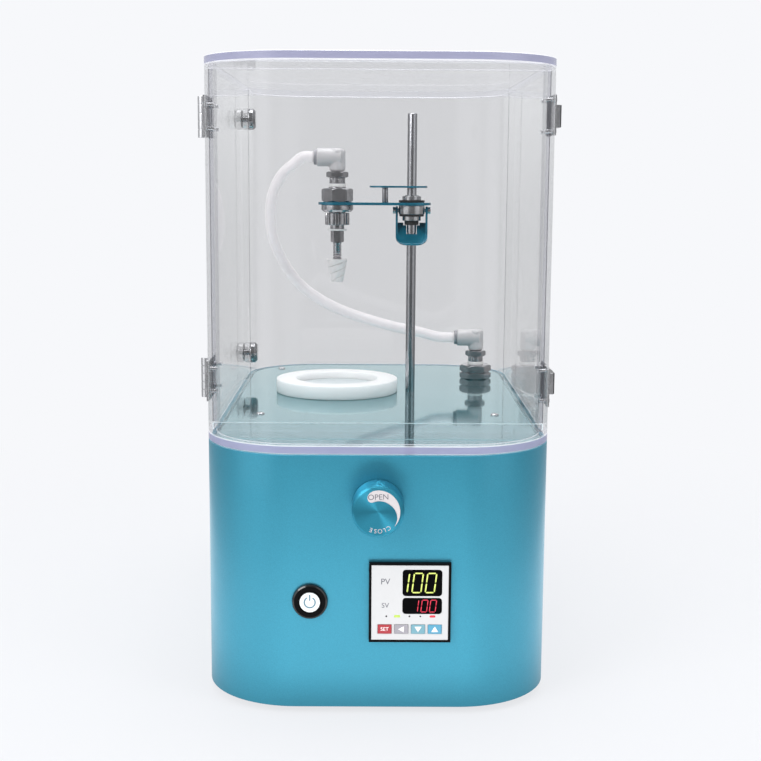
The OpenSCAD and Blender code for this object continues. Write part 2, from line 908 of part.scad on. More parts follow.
module deck_nuts() color("silver") {
    at_rod(deck_under - boss_h)
        ring(boss_d, rod_d + 2 * run_gap, boss_h);
    at_port(deck_under - lock_nut_h)
        difference() {
            hexagon(lock_nut_af, lock_nut_h);
            translate([0, 0, -1])
                cylinder(d = port_d + 2 * run_gap, h = lock_nut_h + 2);
        }
}

module port_bulkhead() color(nickel)
    at_port(deck_under - port_drop)
        difference() {
            union() {
                cylinder(d = port_d, h = port_drop + deck_t + join);
                translate([0, 0, port_drop + deck_t])
                    hexagon(port_af, port_h);
            }
            translate([0, 0, -1])
                cylinder(d = bore_d, h = port_drop + deck_t + port_h + 2);
        }

module port_gasket() color(white)
    at_port(deck_z + port_h)
        ring(port_gasket_d, gasket_bore_d, seal_t);

module port_adapter() color(nickel)
    at_port(deck_z + port_h + seal_t)
        elbow_base();

module port_elbow() color(white)
    at_port(deck_z + port_h + seal_t + foot_nut_h + elbow_hex_h)
        elbow();

module vacuum_hose() color([0.93, 0.93, 0.95])
    swept_tube(hose_path, tube_d, 12);

// Inside the body

module valve_body() color("silver")
    difference() {
        union() {
            bar_y(0, knob_z, valve_neck_d, front_y - valve_neck_proud, valve_y + join);
            block([valve_w, valve_l, valve_w], [0, valve_y + valve_l / 2, knob_z]);
        }
        bar_y(0, knob_z, spindle_d + 2 * run_gap, front_y - 2, spindle_end_y + 1);
        bar_x(valve_port_y, knob_z, valve_bore_d, -valve_w, valve_w);
    }

module internal_tubes() color([0.9, 0.9, 0.92]) {
    swept_tube(inlet_tube_path, inner_tube_d, 8);
    swept_tube(outlet_tube_path, inner_tube_d, 8);
}

module heater_relay() color([0.2, 0.2, 0.22])
    block(relay_size, [relay_at[0], relay_at[1], base_top + relay_size[2] / 2]);

// Rear panel

module vacuum_outlet() color(white) {
    difference() {
        union() {
            bar_y(outlet_x, outlet_z, outlet_d, back_y, back_y + outlet_l);
            bar_y(outlet_x, outlet_z, outlet_flange_d, back_y, back_y + outlet_flange_t);
            bar_y(outlet_x, outlet_z, outlet_thread_d, back_y - shell_t - outlet_tail, back_y + join);
        }
        bar_y(outlet_x, outlet_z, tube_d + 2 * run_gap, back_y + outlet_l - socket_l, back_y + outlet_l + 1);
        bar_y(outlet_x, outlet_z, bore_d, back_y - shell_t - outlet_tail - 1, back_y + outlet_l);
    }
    translate([outlet_x, back_y - shell_t, outlet_z])
        rotate([90, 0, 0])
            difference() {
                hexagon(outlet_nut_af, outlet_nut_h);
                translate([0, 0, -1])
                    cylinder(d = outlet_thread_d + 2 * run_gap, h = outlet_nut_h + 2);
            }
}

module power_inlet() color(black) {
    floor_y = back_y + inlet_flange_t - inlet_deep;
    body_l = inlet_deep + inlet_floor_t;
    difference() {
        union() {
            block(
                [inlet_outer_w, body_l, inlet_outer_h],
                [inlet_x, back_y + inlet_flange_t - body_l / 2, inlet_z]
            );
            block(
                [inlet_flange_w, inlet_flange_t, inlet_outer_h + 2 * inlet_flange_rim],
                [inlet_x, back_y + inlet_flange_t / 2, inlet_z]
            );
        }
        block([inlet_w, inlet_deep, inlet_h], [inlet_x, floor_y + inlet_deep / 2, inlet_z]);
    }
    for (p = inlet_pin_places)
        block(
            [inlet_pin[0], inlet_pin_l, inlet_pin[1]],
            [inlet_x + p[0], floor_y + inlet_pin_l / 2, inlet_z + p[1]]
        );
}

// Front panel

module controller_case() color(black)
    difference() {
        union() {
            block(
                [controller_w, controller_h, controller_w],
                [controller_x, front_y - controller_h / 2, panel_z]
            );
            block(
                [case_w, controller_d + join, case_w],
                [controller_x, front_y + (controller_d - join) / 2, panel_z]
            );
        }
        block(
            [face_w, 2 * (face_recess + face_t), face_w],
            [controller_x, front_y - controller_h, panel_z]
        );
    }

module key_places() {
    for (i = [-1.5:1:1.5])
        translate([controller_x + i * key_pitch, 0, key_z])
            children();
}

// Rounded display window, larger all round by gap and reaching past the face by over
module face_window(height, z, gap, over) {
    w = window_w / 2 + gap - window_r;
    h = height / 2 + gap - window_r;
    translate([window_x, face_back_y + over, z])
        rotate([90, 0, 0])
            linear_extrude(face_t + 2 * over)
                union() {
                    square([2 * w, 2 * h + 2 * window_r], center = true);
                    square([2 * w + 2 * window_r, 2 * h], center = true);
                    for (x = [-w, w], y = [-h, h])
                        translate([x, y])
                            circle(window_r, $fn = 24);
                }
}

module controller_face() color(white)
    difference() {
        block(
            [face_w - 2 * slide_gap, face_t, face_w - 2 * slide_gap],
            [controller_x, face_back_y - face_t / 2, panel_z]
        );
        face_window(window_high, window_high_z, slide_gap, 1);
        face_window(window_low, window_low_z, slide_gap, 1);
        key_places()
            block([key_w + 2 * key_gap, 4 * face_t, key_h + 2 * key_gap], [0, face_back_y, 0]);
    }

module display_windows() color(black) {
    face_window(window_high, window_high_z, 0, 0);
    face_window(window_low, window_low_z, 0, 0);
}

module key(i) {
    thick = face_t + key_proud - key_travel - slide_gap;
    translate([controller_x + i * key_pitch, face_back_y - face_t - key_proud + thick / 2, key_z])
        cube([key_w, thick, key_h], center = true);
}

module set_key() color([0.72, 0.15, 0.2])
    key(-1.5);

module shift_key() color([0.72, 0.72, 0.74])
    key(-0.5);

module down_key() color([0.45, 0.68, 0.72])
    key(0.5);

module up_key() color([0.35, 0.65, 0.75])
    key(1.5);

module button_housing() color(black)
    difference() {
        union() {
            translate([button_x, front_y, panel_z])
                rotate([90, 0, 0])
                    rotate_extrude()
                        polygon([
                            [0, 0], [bezel_d / 2, 0], [bezel_d / 2, bezel_edge],
                            [cap_d / 2 + bezel_land, bezel_h], [0, bezel_h],
                        ]);
            bar_y(button_x, panel_z, button_hole_d, front_y - join, front_y + button_barrel_l);
        }
        bar_y(
            button_x, panel_z, cap_d + 2 * slide_gap,
            front_y - bezel_h - 1, front_y - bezel_h - cap_proud + cap_l + cap_travel + cap_room
        );
    }

module button_cap() color(white)
    bar_y(button_x, panel_z, cap_d, front_y - bezel_h - cap_proud, front_y - bezel_h - cap_proud + cap_l);

module valve_knob() color(blue_paint)
    translate([0, front_y - knob_gap, knob_z])
        rotate([90, 0, 0])
            rotate_extrude($fn = 96)
                polygon([
                    [0, spindle_in], [spindle_d / 2 + run_gap, spindle_in], [spindle_d / 2 + run_gap, 0],
                    [knob_d / 2, 0], [knob_d / 2, knob_l - knob_edge], [knob_d / 2 - knob_edge, knob_l],
                    [knob_d / 2 - knob_edge - knob_rim, knob_l], [0, knob_l - knob_dish],
                ]);

module valve_spindle() color(steel)
    bar_y(0, knob_z, spindle_d, front_y - knob_gap - spindle_in + slide_gap, spindle_end_y);

// Fixed cover

module cover_sides() color(clear)
    difference() {
        wall_slice(deck_z, cover_h, seam_y + seam_gap / 2, joint_y);
        hinge_holes(1);
        catch_holes(1);
        clamp_holes();
    }

module clamp_holes() {
    for (z = clamp_zs)
        wall_hole(-1, joint_y, z, clamp_bolt_d);
}

module cover_rear() color(clear)
    difference() {
        wall_slice(deck_z, cover_h, joint_y, back_y + 1);
        clamp_holes();
    }

module cover_top() color(clear)
    plate_slice(cover_z, plate_t, seam_y + seam_gap / 2, back_y + 1);

module cover_hinges() color(steel) {
    for (z = hinge_zs) {
        hinge_leaf(z, 1, [0, 2, 4]);
        translate([hinge_x, seam_y, z - hinge_h / 2])
            cylinder(d = pin_d, h = hinge_h);
    }
}

module cover_catches() color([0.2, 0.2, 0.22])
    difference() {
        for (z = catch_zs) {
            catch_plate(z, 1);
            translate([side_x, seam_y + seam_gap / 2, z - catch_h / 2])
                cube([catch_proud, catch_l - seam_gap / 2, catch_h]);
        }
        catch_holes(1);
    }

module cover_screws() color(steel)
    wall_screws(1);

module clamp_disc(bore) {
    edge = clamp_t * 0.35;
    rotate_extrude()
        polygon([
            [bore / 2, 0], [clamp_d / 2, 0], [clamp_d / 2, clamp_t - edge],
            [clamp_d / 2 - edge, clamp_t], [bore / 2, clamp_t],
        ]);
}

module panel_clamps() color("silver")
    for (z = clamp_zs) {
        translate([-side_x, joint_y, z])
            rotate([0, -90, 0])
                clamp_disc(0);
        bar_x(joint_y, z, clamp_bolt_d, -side_x - join, -side_x + wall_t + clamp_t * 0.8);
        translate([-side_x + wall_t, joint_y, z])
            rotate([0, 90, 0])
                clamp_disc(clamp_bolt_d + 2 * run_gap);
    }

// Door

module door_wall() color(clear)
    difference() {
        wall_slice(
            deck_z + door_lift + plate_t, cover_h - door_lift - plate_t,
            front_y - 1, seam_y - seam_gap / 2
        );
        hinge_holes(-1);
        catch_holes(-1);
    }

module door_top() color(clear_edge)
    plate_slice(cover_z, plate_t, front_y - 1, seam_y - seam_gap / 2);

module door_bottom() color(clear_edge)
    plate_slice(deck_z + door_lift, plate_t, front_y - 1, seam_y - seam_gap / 2);

module door_hinges() color(steel)
    for (z = hinge_zs)
        hinge_leaf(z, -1, [1, 3]);

module door_strikes() color(steel)
    difference() {
        for (z = catch_zs) {
            catch_plate(z, -1);
            translate([side_x, seam_y - seam_gap / 2 - leaf_t, z - catch_h / 2])
                cube([catch_proud - 1, leaf_t, catch_h]);
        }
        catch_holes(-1);
    }

module door_screws() color(steel)
    wall_screws(-1);

// Clamp on the rod

module clamp_collar() color("silver")
    at_rod(0)
        difference() {
            union() {
                translate([0, 0, neck_z])
                    cylinder(d = neck_d, h = neck_h + join);
                translate([0, 0, collar_z])
                    cylinder(d = collar_d, h = collar_h);
                translate([0, 0, collar_z + collar_h - join])
                    cylinder(d = spigot_d, h = spigot_top - collar_z - collar_h + join);
            }
            translate([0, 0, neck_z - 1])
                cylinder(d = rod_d + 2 * run_gap, h = spigot_top - neck_z + 2);
            bar_x(0, pivot_z, pivot_d + 2 * run_gap, -collar_d, -pivot_in + run_gap);
            bar_x(0, pivot_z, pivot_d + 2 * run_gap, pivot_in - run_gap, collar_d);
        }

module collar_rings() color(black)
    at_rod(0) {
        translate([0, 0, washer_z])
            ring(collar_d, spigot_d + 2 * run_gap, washer_t - slide_gap);
        translate([0, 0, collar_z - washer_t - slide_gap])
            ring(snap_ring_d, neck_d + 2 * run_gap, washer_t);
        translate([0, 0, neck_z - grip_h - slide_gap])
            ring(grip_d, rod_d + 2 * run_gap, grip_h);
    }

module collar_fasteners() color(steel)
    at_rod(0) {
        translate([0, 0, round_nut_z])
            difference() {
                ring(round_nut_d, spigot_d + 2 * run_gap, round_nut_h);
                for (a = [0:60:300])
                    rotate(a)
                        translate([round_nut_d / 2, 0, 0])
                            cube([nut_slot[0], nut_slot[1], 3 * round_nut_h], center = true);
            }
        for (side = [-1, 1])
            translate([0, 0, pivot_z])
                rotate([0, side * 90, 0]) {
                    translate([0, 0, pivot_in])
                        cylinder(d = pivot_d, h = lever_reach + slide_gap - pivot_in + join);
                    translate([0, 0, lever_reach + slide_gap])
                        cylinder(d = pivot_head_d, h = pivot_head_h);
                }
    }

// Release lever: two cheeks on the pivot screws and a forked, sloping tab

module lever_cheek(x) {
    top_y = sin(90 - tab_slope) * tab_l * 0.3;
    translate([x, 0, 0])
        rotate([90, 0, 90])
            linear_extrude(lever_t)
                union() {
                    circle(d = 2 * pivot_d, $fn = 32);
                    polygon([
                        [-pivot_d, 0], [pivot_d, 0], [top_y, -tab_drop + top_y * tan(tab_slope)],
                        [-top_y, -tab_drop - top_y * tan(tab_slope)],
                    ]);
                }
}

module release_lever() color(dark_teal)
    at_rod(pivot_z)
        difference() {
            union() {
                lever_cheek(-lever_reach);
                lever_cheek(lever_reach - lever_t);
                translate([0, 0, -tab_drop])
                    rotate([tab_slope, 0, 0])
                        translate([0, 0, -lever_t / 2])
                            linear_extrude(lever_t)
                                union() {
                                    translate([-lever_reach, -tab_l * 0.7 + tab_r])
                                        square([lever_w, tab_l - tab_r]);
                                    translate([-lever_reach + tab_r, -tab_l * 0.7])
                                        square([lever_w - 2 * tab_r, tab_r * 1.2]);
                                    for (side = [-1, 1])
                                        translate([side * (lever_reach - tab_r), -tab_l * 0.7 + tab_r])
                                            circle(tab_r);
                                }
            }
            translate([-fork_w / 2, -fork_front, -2 * tab_l])
                cube([fork_w, tab_l, 4 * tab_l]);
            bar_x(0, 0, pivot_d + 2 * run_gap, -lever_w, lever_w);
        }

// Arm and plug

module arm_plates() color(dark_teal) {
    difference() {
        translate([0, bench_y, arm_under])
            round_bar(heater_x, rod_x, arm_r, arm_t);
        at_rod(arm_under - 1)
            cylinder(d = spigot_d + 4 * run_gap, h = arm_t + 2);
        at_plug(arm_under - 1)
            cylinder(d = union_d + 2 * run_gap, h = arm_t + 2);
    }
    difference() {
        translate([0, bench_y, finger_z])
            round_bar(rod_x - finger_post_out, rod_x, finger_r, finger_t);
        at_rod(finger_z - 1)
            cylinder(d = finger_hole_d, h = finger_t + 2);
    }
}

module finger_post() color(steel)
    translate([rod_x - finger_post_out, bench_y, arm_top])
        cylinder(d = finger_post_d, h = finger_gap);

module union_body() color(nickel)
    at_plug(0)
        difference() {
            union() {
                translate([0, 0, flange_z])
                    cylinder(d1 = flange_d - 2 * flange_edge, d2 = flange_d, h = flange_edge);
                translate([0, 0, flange_z + flange_edge])
                    cylinder(d = flange_d, h = flange_h - flange_edge);
                translate([0, 0, arm_under - join])
                    cylinder(d = union_d, h = union_top - arm_under + join);
                translate([0, 0, fluted_z + union_in])
                    cylinder(d = fluted_bore_d, h = flange_z - fluted_z - union_in + join);
            }
            translate([0, 0, fluted_z])
                cylinder(d = bore_d, h = union_top - fluted_z + 1);
        }

module union_nuts() color(nickel)
    at_plug(0) {
        translate([0, 0, arm_top])
            difference() {
                rotate(union_turn)
                    hexagon(union_nut_af, union_nut_h);
                translate([0, 0, -1])
                    cylinder(d = union_d + 2 * run_gap, h = union_nut_h + 2);
            }
        translate([0, 0, fluted_z])
            difference() {
                cylinder(d = fluted_d, h = fluted_h);
                translate([0, 0, fluted_floor])
                    cylinder(d = fluted_bore_d + 2 * run_gap, h = fluted_h);
                translate([0, 0, -1])
                    cylinder(d = stem_neck_d + 2 * run_gap, h = fluted_h);
                for (i = [0:flutes - 1])
                    rotate(360 * i / flutes)
                        translate([fluted_d / 2 + flute_out, 0, -1])
                            cylinder(d = flute_d, h = fluted_h + 2, $fn = 24);
            }
    }

module plug_stem() color(nickel)
    at_plug(0)
        difference() {
            union() {
                translate([0, 0, stem_neck_z])
                    cylinder(d = stem_neck_d, h = stem_neck_h + stem_neck_in);
                translate([0, 0, stem_washer_z - join])
                    cylinder(d = stem_waist_d, h = stem_washer_t + 2 * join);
                translate([0, 0, stem_hex_z])
                    hexagon(stem_af, stem_hex_h);
                translate([0, 0, stem_z])
                    ribbed_stem();
                translate([0, 0, stem_z - stem_tip_l])
                    cylinder(d = stem_tip_d, h = stem_tip_l + join);
            }
            translate([0, 0, stem_z - stem_tip_l - 1])
                cylinder(d = stem_tip_d / 2, h = fluted_z + fluted_h - stem_z + stem_tip_l + 1);
        }

// Stem with saw-tooth ribs that hold a soft plug
module ribbed_stem() {
    pitch = stem_l / stem_ribs;
    big = stem_d / 2;
    small = big - rib_h;
    teeth = [
        for (i = [0:stem_ribs - 1], s = [0, 1])
            s == 0 ? [small, i * pitch] : [big, (i + 0.75) * pitch]
    ];
    rotate_extrude()
        polygon(concat([[0, 0]], teeth, [[small, stem_l], [small, stem_l + join], [0, stem_l + join]]));
}

module arm_seals() color(white) {
    at_plug(union_top)
        ring(plug_gasket_d, gasket_bore_d, seal_t);
    at_plug(stem_washer_z)
        ring(stem_washer_d, stem_waist_d + 2 * run_gap, stem_washer_t);
}

module spiral_plug() color(white)
    at_plug(plug_z)
        difference() {
            translate([0, 0, plug_h])
                mirror([0, 0, 1])
                    linear_extrude(
                        plug_h, twist = plug_twist, scale = plug_low_d / plug_top_d, slices = plug_slices
                    )
                        difference() {
                            circle(d = plug_top_d, $fn = 36);
                            for (a = [0, 120, 240])
                                rotate(a)
                                    translate([plug_top_d / 2 + groove_out, 0])
                                        circle(d = groove_d, $fn = 12);
                        }
            translate([0, 0, stem_z - stem_tip_l - plug_z - plug_tip_room])
                cylinder(d = plug_bore_d, h = plug_h);
            translate([0, 0, stem_z - plug_z])
                cylinder(d = plug_mouth_d, h = plug_h);
            translate([0, 0, -1])
                cylinder(d = stem_tip_d / 2, h = plug_h);
        }

module plug_adapter() color(nickel)
    at_plug(seal_top)
        elbow_base();

module plug_elbow() color(white)
    at_plug(seal_top + foot_nut_h + elbow_hex_h)
        elbow();

base_plate();
rubber_feet();
body_shell();
deck_plate();
deck_posts();
deck_screws();
heater_block();
heater_element();
heater_insulation();
heater_ring();
temperature_probe();
support_rod();
deck_nuts();
port_bulkhead();
port_gasket();
port_adapter();
port_elbow();
valve_body();
internal_tubes();
vacuum_outlet();
power_inlet();
heater_relay();
controller_case();
controller_face();
display_windows();
button_housing();
cover_sides();
cover_rear();
cover_top();
cover_hinges();
cover_catches();
cover_screws();
panel_clamps();
vacuum_hose();
door_wall();
door_top();
door_bottom();
door_hinges();
door_strikes();
door_screws();
valve_knob();
valve_spindle();
button_cap();
set_key();
shift_key();
down_key();
up_key();
clamp_collar();
collar_rings();
collar_fasteners();
release_lever();
arm_plates();
finger_post();
union_body();
union_nuts();
plug_stem();
arm_seals();
spiral_plug();
plug_adapter();
plug_elbow();
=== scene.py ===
import json
import math

import bmesh
import bpy
from bpy.props import FloatProperty, FloatVectorProperty, PointerProperty
from mathutils import Matrix, Vector


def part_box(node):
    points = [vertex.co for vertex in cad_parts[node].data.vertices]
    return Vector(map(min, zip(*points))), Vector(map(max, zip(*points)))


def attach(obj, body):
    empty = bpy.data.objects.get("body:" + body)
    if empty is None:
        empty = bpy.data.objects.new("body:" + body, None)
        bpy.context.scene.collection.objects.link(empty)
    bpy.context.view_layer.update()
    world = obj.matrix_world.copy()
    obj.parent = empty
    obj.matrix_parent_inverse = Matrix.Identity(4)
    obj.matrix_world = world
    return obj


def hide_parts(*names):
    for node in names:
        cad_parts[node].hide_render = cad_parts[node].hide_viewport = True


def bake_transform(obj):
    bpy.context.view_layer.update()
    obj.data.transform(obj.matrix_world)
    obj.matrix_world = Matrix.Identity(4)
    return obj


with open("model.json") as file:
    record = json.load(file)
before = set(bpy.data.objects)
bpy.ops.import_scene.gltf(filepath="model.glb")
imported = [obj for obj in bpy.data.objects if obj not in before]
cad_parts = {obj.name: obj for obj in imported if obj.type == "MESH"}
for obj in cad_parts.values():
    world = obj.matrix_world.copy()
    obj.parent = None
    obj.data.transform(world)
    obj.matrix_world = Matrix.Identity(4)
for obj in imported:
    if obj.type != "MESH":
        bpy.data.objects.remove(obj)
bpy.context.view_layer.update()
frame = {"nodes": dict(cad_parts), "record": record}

bl_info = {
    "name": "Evaporative Concentrator",
    "version": (1, 0, 0),
    "blender": (4, 5, 0),
    "location": "View3D > Sidebar > Concentrator",
    "description": "Dresses the concentrator's solids with finished pieces, materials and a studio",
    "category": "Object",
}

MM = 0.001
BODY_OF = {n: body for body, nodes in frame["record"]["behaviour"]["bodies"].items() for n in nodes}


def extent(node):
    """Lowest and highest corner of a CAD node's box, in millimetres."""
    return [[round(v / MM, 3) for v in corner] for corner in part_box(node)]


def middle(node):
    """Middle of a CAD node's box, in millimetres."""
    return [round((low + high) / 2, 3) for low, high in zip(*extent(node))]


# Places and levels of the solids, in millimetres
DECK_Z = extent("deck_plate")[1][2]
FRONT_Y = extent("body_shell")[0][1]
PLUG = tuple(middle("heater_ring")[:2])
ROD = tuple(middle("support_rod")[:2])
PORT = tuple(middle("port_bulkhead")[:2])
KNOB_Z = middle("valve_knob")[2]
BUTTON_X, _, PANEL_Z = middle("button_cap")
CONTROLLER_X = middle("controller_face")[0]

# Thickness of a print and how far its face stands in front of what it is printed on
PRINT = 0.02
PRINT_LIFT = 0.03
PRINT_Y = extent("controller_face")[0][1] - PRINT_LIFT

# Centreline of the hose from the plug's elbow to the deck port's elbow, and the point between its stretches
HOSE_PATH = [
    (-47.2, 46, 328.2), (-55.2, 46, 328.2), (-62, 46, 323), (-70, 48, 316), (-76, 51, 306),
    (-79, 54, 296), (-80, 58, 284), (-79, 63, 271), (-75, 69, 258), (-68, 76, 244), (-58, 83, 231),
    (-44, 90, 220), (-27, 96, 211), (-8, 101, 204), (12, 105, 198), (32, 109, 193.5),
    (45.1, 113, 189.6), (53.1, 113, 188.6), (61.1, 113, 188.6),
]
HOSE_SPLIT = 9


def linear(r, g, b):
    """Linear colour of an 8-bit display colour."""
    return tuple((v / 255 / 12.92) if v < 10.3 else ((v / 255 + 0.055) / 1.055) ** 2.4 for v in (r, g, b))


# Settings


def colour_prop(name, description, default):
    return FloatVectorProperty(
        name=name, description=description, default=default, subtype="COLOR", size=3, min=0, max=1
    )


def length_prop(name, description, default):
    return FloatProperty(name=name, description=description, default=default, unit="LENGTH", min=0)


def power_prop(name, description, default):
    return FloatProperty(name=name, description=description, default=default, subtype="POWER", min=0)


class StageSettings(bpy.types.PropertyGroup):
    backdrop: colour_prop("Backdrop", "Colour of the plain background and floor", linear(247, 248, 251))
    floor_tone: colour_prop("Floor", "Colour of the floor under the object", (0.56, 0.57, 0.59))
    floor_radius: length_prop("Floor radius", "Radius of the round floor", 0.75)
    key_power: power_prop("Key light", "Power of the large light in front on the left", 13.0)
    fill_power: power_prop("Fill light", "Power of the light in front on the right", 8.0)
    top_power: power_prop("Top light", "Power of the light above the cover", 10.0)
    low_power: power_prop("Low light", "Power of the light in front, below the floor", 0.5)


class PaintSettings(bpy.types.PropertyGroup):
    body: colour_prop("Body", "Metallic paint of the body", linear(61, 147, 172))
    deck: colour_prop("Deck", "Glossy paint of the deck", linear(78, 156, 166))
    arm: colour_prop("Arm", "Glossy paint of the arm and the lever", linear(16, 108, 132))
    knob: colour_prop("Knob", "Anodised metal of the knob", linear(58, 146, 172))


class CoverSettings(bpy.types.PropertyGroup):
    tint: colour_prop("Tint", "Light that one face of the clear sheet lets through", (0.925, 0.925, 0.926))
    plate: colour_prop("Plate tint", "Light that one face of a flat plate lets through", (0.975, 0.975, 0.98))
    edge: colour_prop("Edge", "Polished edge of the plates", linear(142, 143, 172))
    bevel: length_prop("Edge bevel", "Width of the bright bevel along the sheet's edges", 0.0005)


class HoseSettings(bpy.types.PropertyGroup):
    diameter: length_prop("Diameter", "Outer diameter of the hose", 0.008)
    wall: length_prop("Wall", "Wall thickness of the hose", 0.0014)
    body: colour_prop("Colour", "Milky colour of the hose", linear(216, 212, 214))


class PanelSettings(bpy.types.PropertyGroup):
    upper: colour_prop("Upper digits", "Colour of the upper display", linear(206, 218, 112))
    lower: colour_prop("Lower digits", "Colour of the lower display", linear(214, 46, 72))
    print_grey: colour_prop("Print", "Grey print on the face", linear(88, 88, 98))


# Materials


def add_node(tree, kind, inputs=None, **attributes):
    """Add a node with its attributes; each input is linked to a socket or set to a value."""
    made = tree.nodes.new(kind)
    for key, value in attributes.items():
        setattr(made, key, value)
    for key, value in (inputs or {}).items():
        if isinstance(value, bpy.types.NodeSocket):
            tree.links.new(value, made.inputs[key])
        else:
            made.inputs[key].default_value = value
    return made


def level_ramp(tree, value, low, high, stops):
    """Brightness by a value from low to high, eased between stops of (share, level)."""
    share = add_node(tree, "ShaderNodeMapRange", {"Value": value, "From Min": low, "From Max": high})
    ramp = add_node(tree, "ShaderNodeValToRGB", {"Fac": share.outputs["Result"]})
    ramp.color_ramp.interpolation = "EASE"
    while len(ramp.color_ramp.elements) < len(stops):
        ramp.color_ramp.elements.new(0.5)
    top = max(level for _, level in stops)
    for element, (position, level) in zip(ramp.color_ramp.elements, stops):
        element.position = position
        element.color = (level / top,) * 3 + (1,)
    scaled = add_node(tree, "ShaderNodeMath", {0: ramp.outputs["Color"], 1: top}, operation="MULTIPLY")
    return scaled.outputs[0]


class Surface:
    """A Principled material whose colour, roughness and relief can vary by position on the piece."""

    def __init__(self, name, base, rough, metal=0.0, **uniform):
        self.data = bpy.data.materials.new(name)
        self.data.use_nodes = True
        self.tree = self.data.node_tree
        self.shader = self.tree.nodes["Principled BSDF"]
        self.base = Vector(base)
        self.set(Base_Color=(*base, 1), Roughness=rough, Metallic=metal, **uniform)

    def set(self, **values):
        for key, value in values.items():
            self.shader.inputs[key.replace("_", " ")].default_value = value

    def node(self, kind, inputs=None, **attributes):
        return add_node(self.tree, kind, inputs, **attributes)

    def drive(self, socket, value):
        self.tree.links.new(value, self.shader.inputs[socket])
        return self

    def place(self, stretch=(1, 1, 1), centre=(0, 0, 0)):
        """Object coordinates about a centre, stretched by axis."""
        coords = self.node("ShaderNodeTexCoord").outputs["Object"]
        shift = [-c * s for c, s in zip(centre, stretch)]
        moved = self.node("ShaderNodeMapping", {"Vector": coords, "Location": shift, "Scale": stretch})
        return moved.outputs["Vector"]

    def noise(self, scale, detail=3.0, stretch=(1, 1, 1)):
        inputs = {"Vector": self.place(stretch), "Scale": scale, "Detail": detail, "Roughness": 0.55}
        return self.node("ShaderNodeTexNoise", inputs).outputs["Fac"]

    def cells(self, scale):
        flakes = self.node("ShaderNodeTexVoronoi", {"Vector": self.place(), "Scale": scale})
        return self.node("ShaderNodeRGBToBW", {"Color": flakes.outputs["Color"]}).outputs["Val"]

    def rings(self, pitch, centre, direction="Z"):
        """Turning marks: fine rings of a pitch in metres about an axis through centre."""
        node_factor = 20
        inputs = {
            "Vector": self.place(centre=centre), "Scale": math.tau / (node_factor * pitch),
            "Distortion": 0.4, "Detail": 1.0,
        }
        marks = self.node("ShaderNodeTexWave", inputs, wave_type="RINGS", rings_direction=direction)
        return marks.outputs["Fac"]

    def span(self, value, low, high):
        inputs = {"Value": value, "To Min": low, "To Max": high}
        return self.node("ShaderNodeMapRange", inputs).outputs["Result"]

    def colour(self, value, amount):
        """Vary the base colour by a share."""
        ramp = self.node("ShaderNodeValToRGB", {"Fac": value})
        levels = ((0.25, 1 - amount), (0.75, 1 + amount))
        for stop, (position, level) in zip(ramp.color_ramp.elements, levels):
            stop.position = position
            stop.color = (*[min(1, v) for v in self.base * level], 1)
        return self.drive("Base Color", ramp.outputs["Color"])

    def rough(self, value, low, high):
        return self.drive("Roughness", self.span(value, low, high))

    def bump(self, value, strength, height=0.0001):
        inputs = {"Height": value, "Strength": strength, "Distance": height}
        return self.drive("Normal", self.node("ShaderNodeBump", inputs).outputs["Normal"])

    def mix(self, share, first, second):
        return self.node("ShaderNodeMixShader", {"Fac": share, 1: first, 2: second}).outputs["Shader"]

    def show(self, shader):
        self.tree.links.new(shader, self.tree.nodes["Material Output"].inputs["Surface"])
        return self

    def see_through(self, share, tint):
        """Mix with a tinted pass-through; share, a socket or a number, is the solid part."""
        clear = self.node("ShaderNodeBsdfTransparent", {"Color": (*tint, 1)}).outputs["BSDF"]
        return self.show(self.mix(share, clear, self.shader.outputs["BSDF"]))


def plain(name, base, rough, metal=0.0, tone=(), gloss=(), relief=(), height=0.0001, **uniform):
    """A surface with noise in its tone, gloss and relief.

    Each of the three lists its own amounts first, one or for gloss two, and then the values of its noise.
    """
    s = Surface(name, base, rough, metal, **uniform)
    if tone:
        s.colour(s.noise(*tone[1:]), tone[0])
    if gloss:
        s.rough(s.noise(*gloss[2:]), *gloss[:2])
    if relief:
        s.bump(s.noise(*relief[1:]), relief[0], height)
    return s


def metallic_paint(colour):
    s = Surface("MetallicPaint", colour, 0.44, 0.8, Coat_Weight=0.25, Coat_Roughness=0.1)
    s.colour(s.cells(3400), 0.06)
    s.rough(s.noise(90), 0.4, 0.48)
    return s.bump(s.noise(1400, 1.0), 0.025)


def knob_metal(colour):
    """Brushed round its axis, so that gloss spreads out as a fan."""
    s = Surface("KnobMetal", colour, 0.42, 1.0, Anisotropic=0.92, Anisotropic_Rotation=0.25)
    s.colour(s.rings(0.0004, (0, -0.2, KNOB_Z * MM), "Y"), 0.1)
    tangent = s.node("ShaderNodeTangent", direction_type="UV_MAP", uv_map="Turned")
    s.drive("Tangent", tangent.outputs["Tangent"])
    return s.rough(s.noise(700), 0.38, 0.46)


def heater_alloy():
    s = Surface("HeaterAlloy", (0.72, 0.79, 0.81), 0.36, 0.65)
    s.colour(s.rings(0.0012, (PLUG[0] * MM, PLUG[1] * MM, 0)), 0.08)
    return s.rough(s.noise(500), 0.24, 0.4)


def fluor_plastic():
    s = plain("FluorPlastic", (0.9, 0.915, 0.92), 0.4, tone=(0.02, 120), **scatter(0.7, 0.012))
    return s.bump(s.rings(0.0005, (PLUG[0] * MM, PLUG[1] * MM, 0)), 0.03)


def milky_tube_painted_glow(colour):
    """Soft hose: thin in the middle, where light passes, and denser towards its sides; a faint white emission
    is a painted glow of light scattered in its wall.
    """
    # The white emission paints the glow of light scattered in the milky wall; the hose is no lamp.
    s = plain(
        "MilkyTube", colour, 0.28, tone=(0.03, 260), Emission_Color=(1, 1, 1, 1), Emission_Strength=0.27,
        **scatter(0.25, 0.006),
    )
    facing = s.node("ShaderNodeLayerWeight", {"Blend": 0.35}).outputs["Facing"]
    return s.see_through(s.span(facing, 0.46, 0.95), (0.97, 0.97, 0.98))


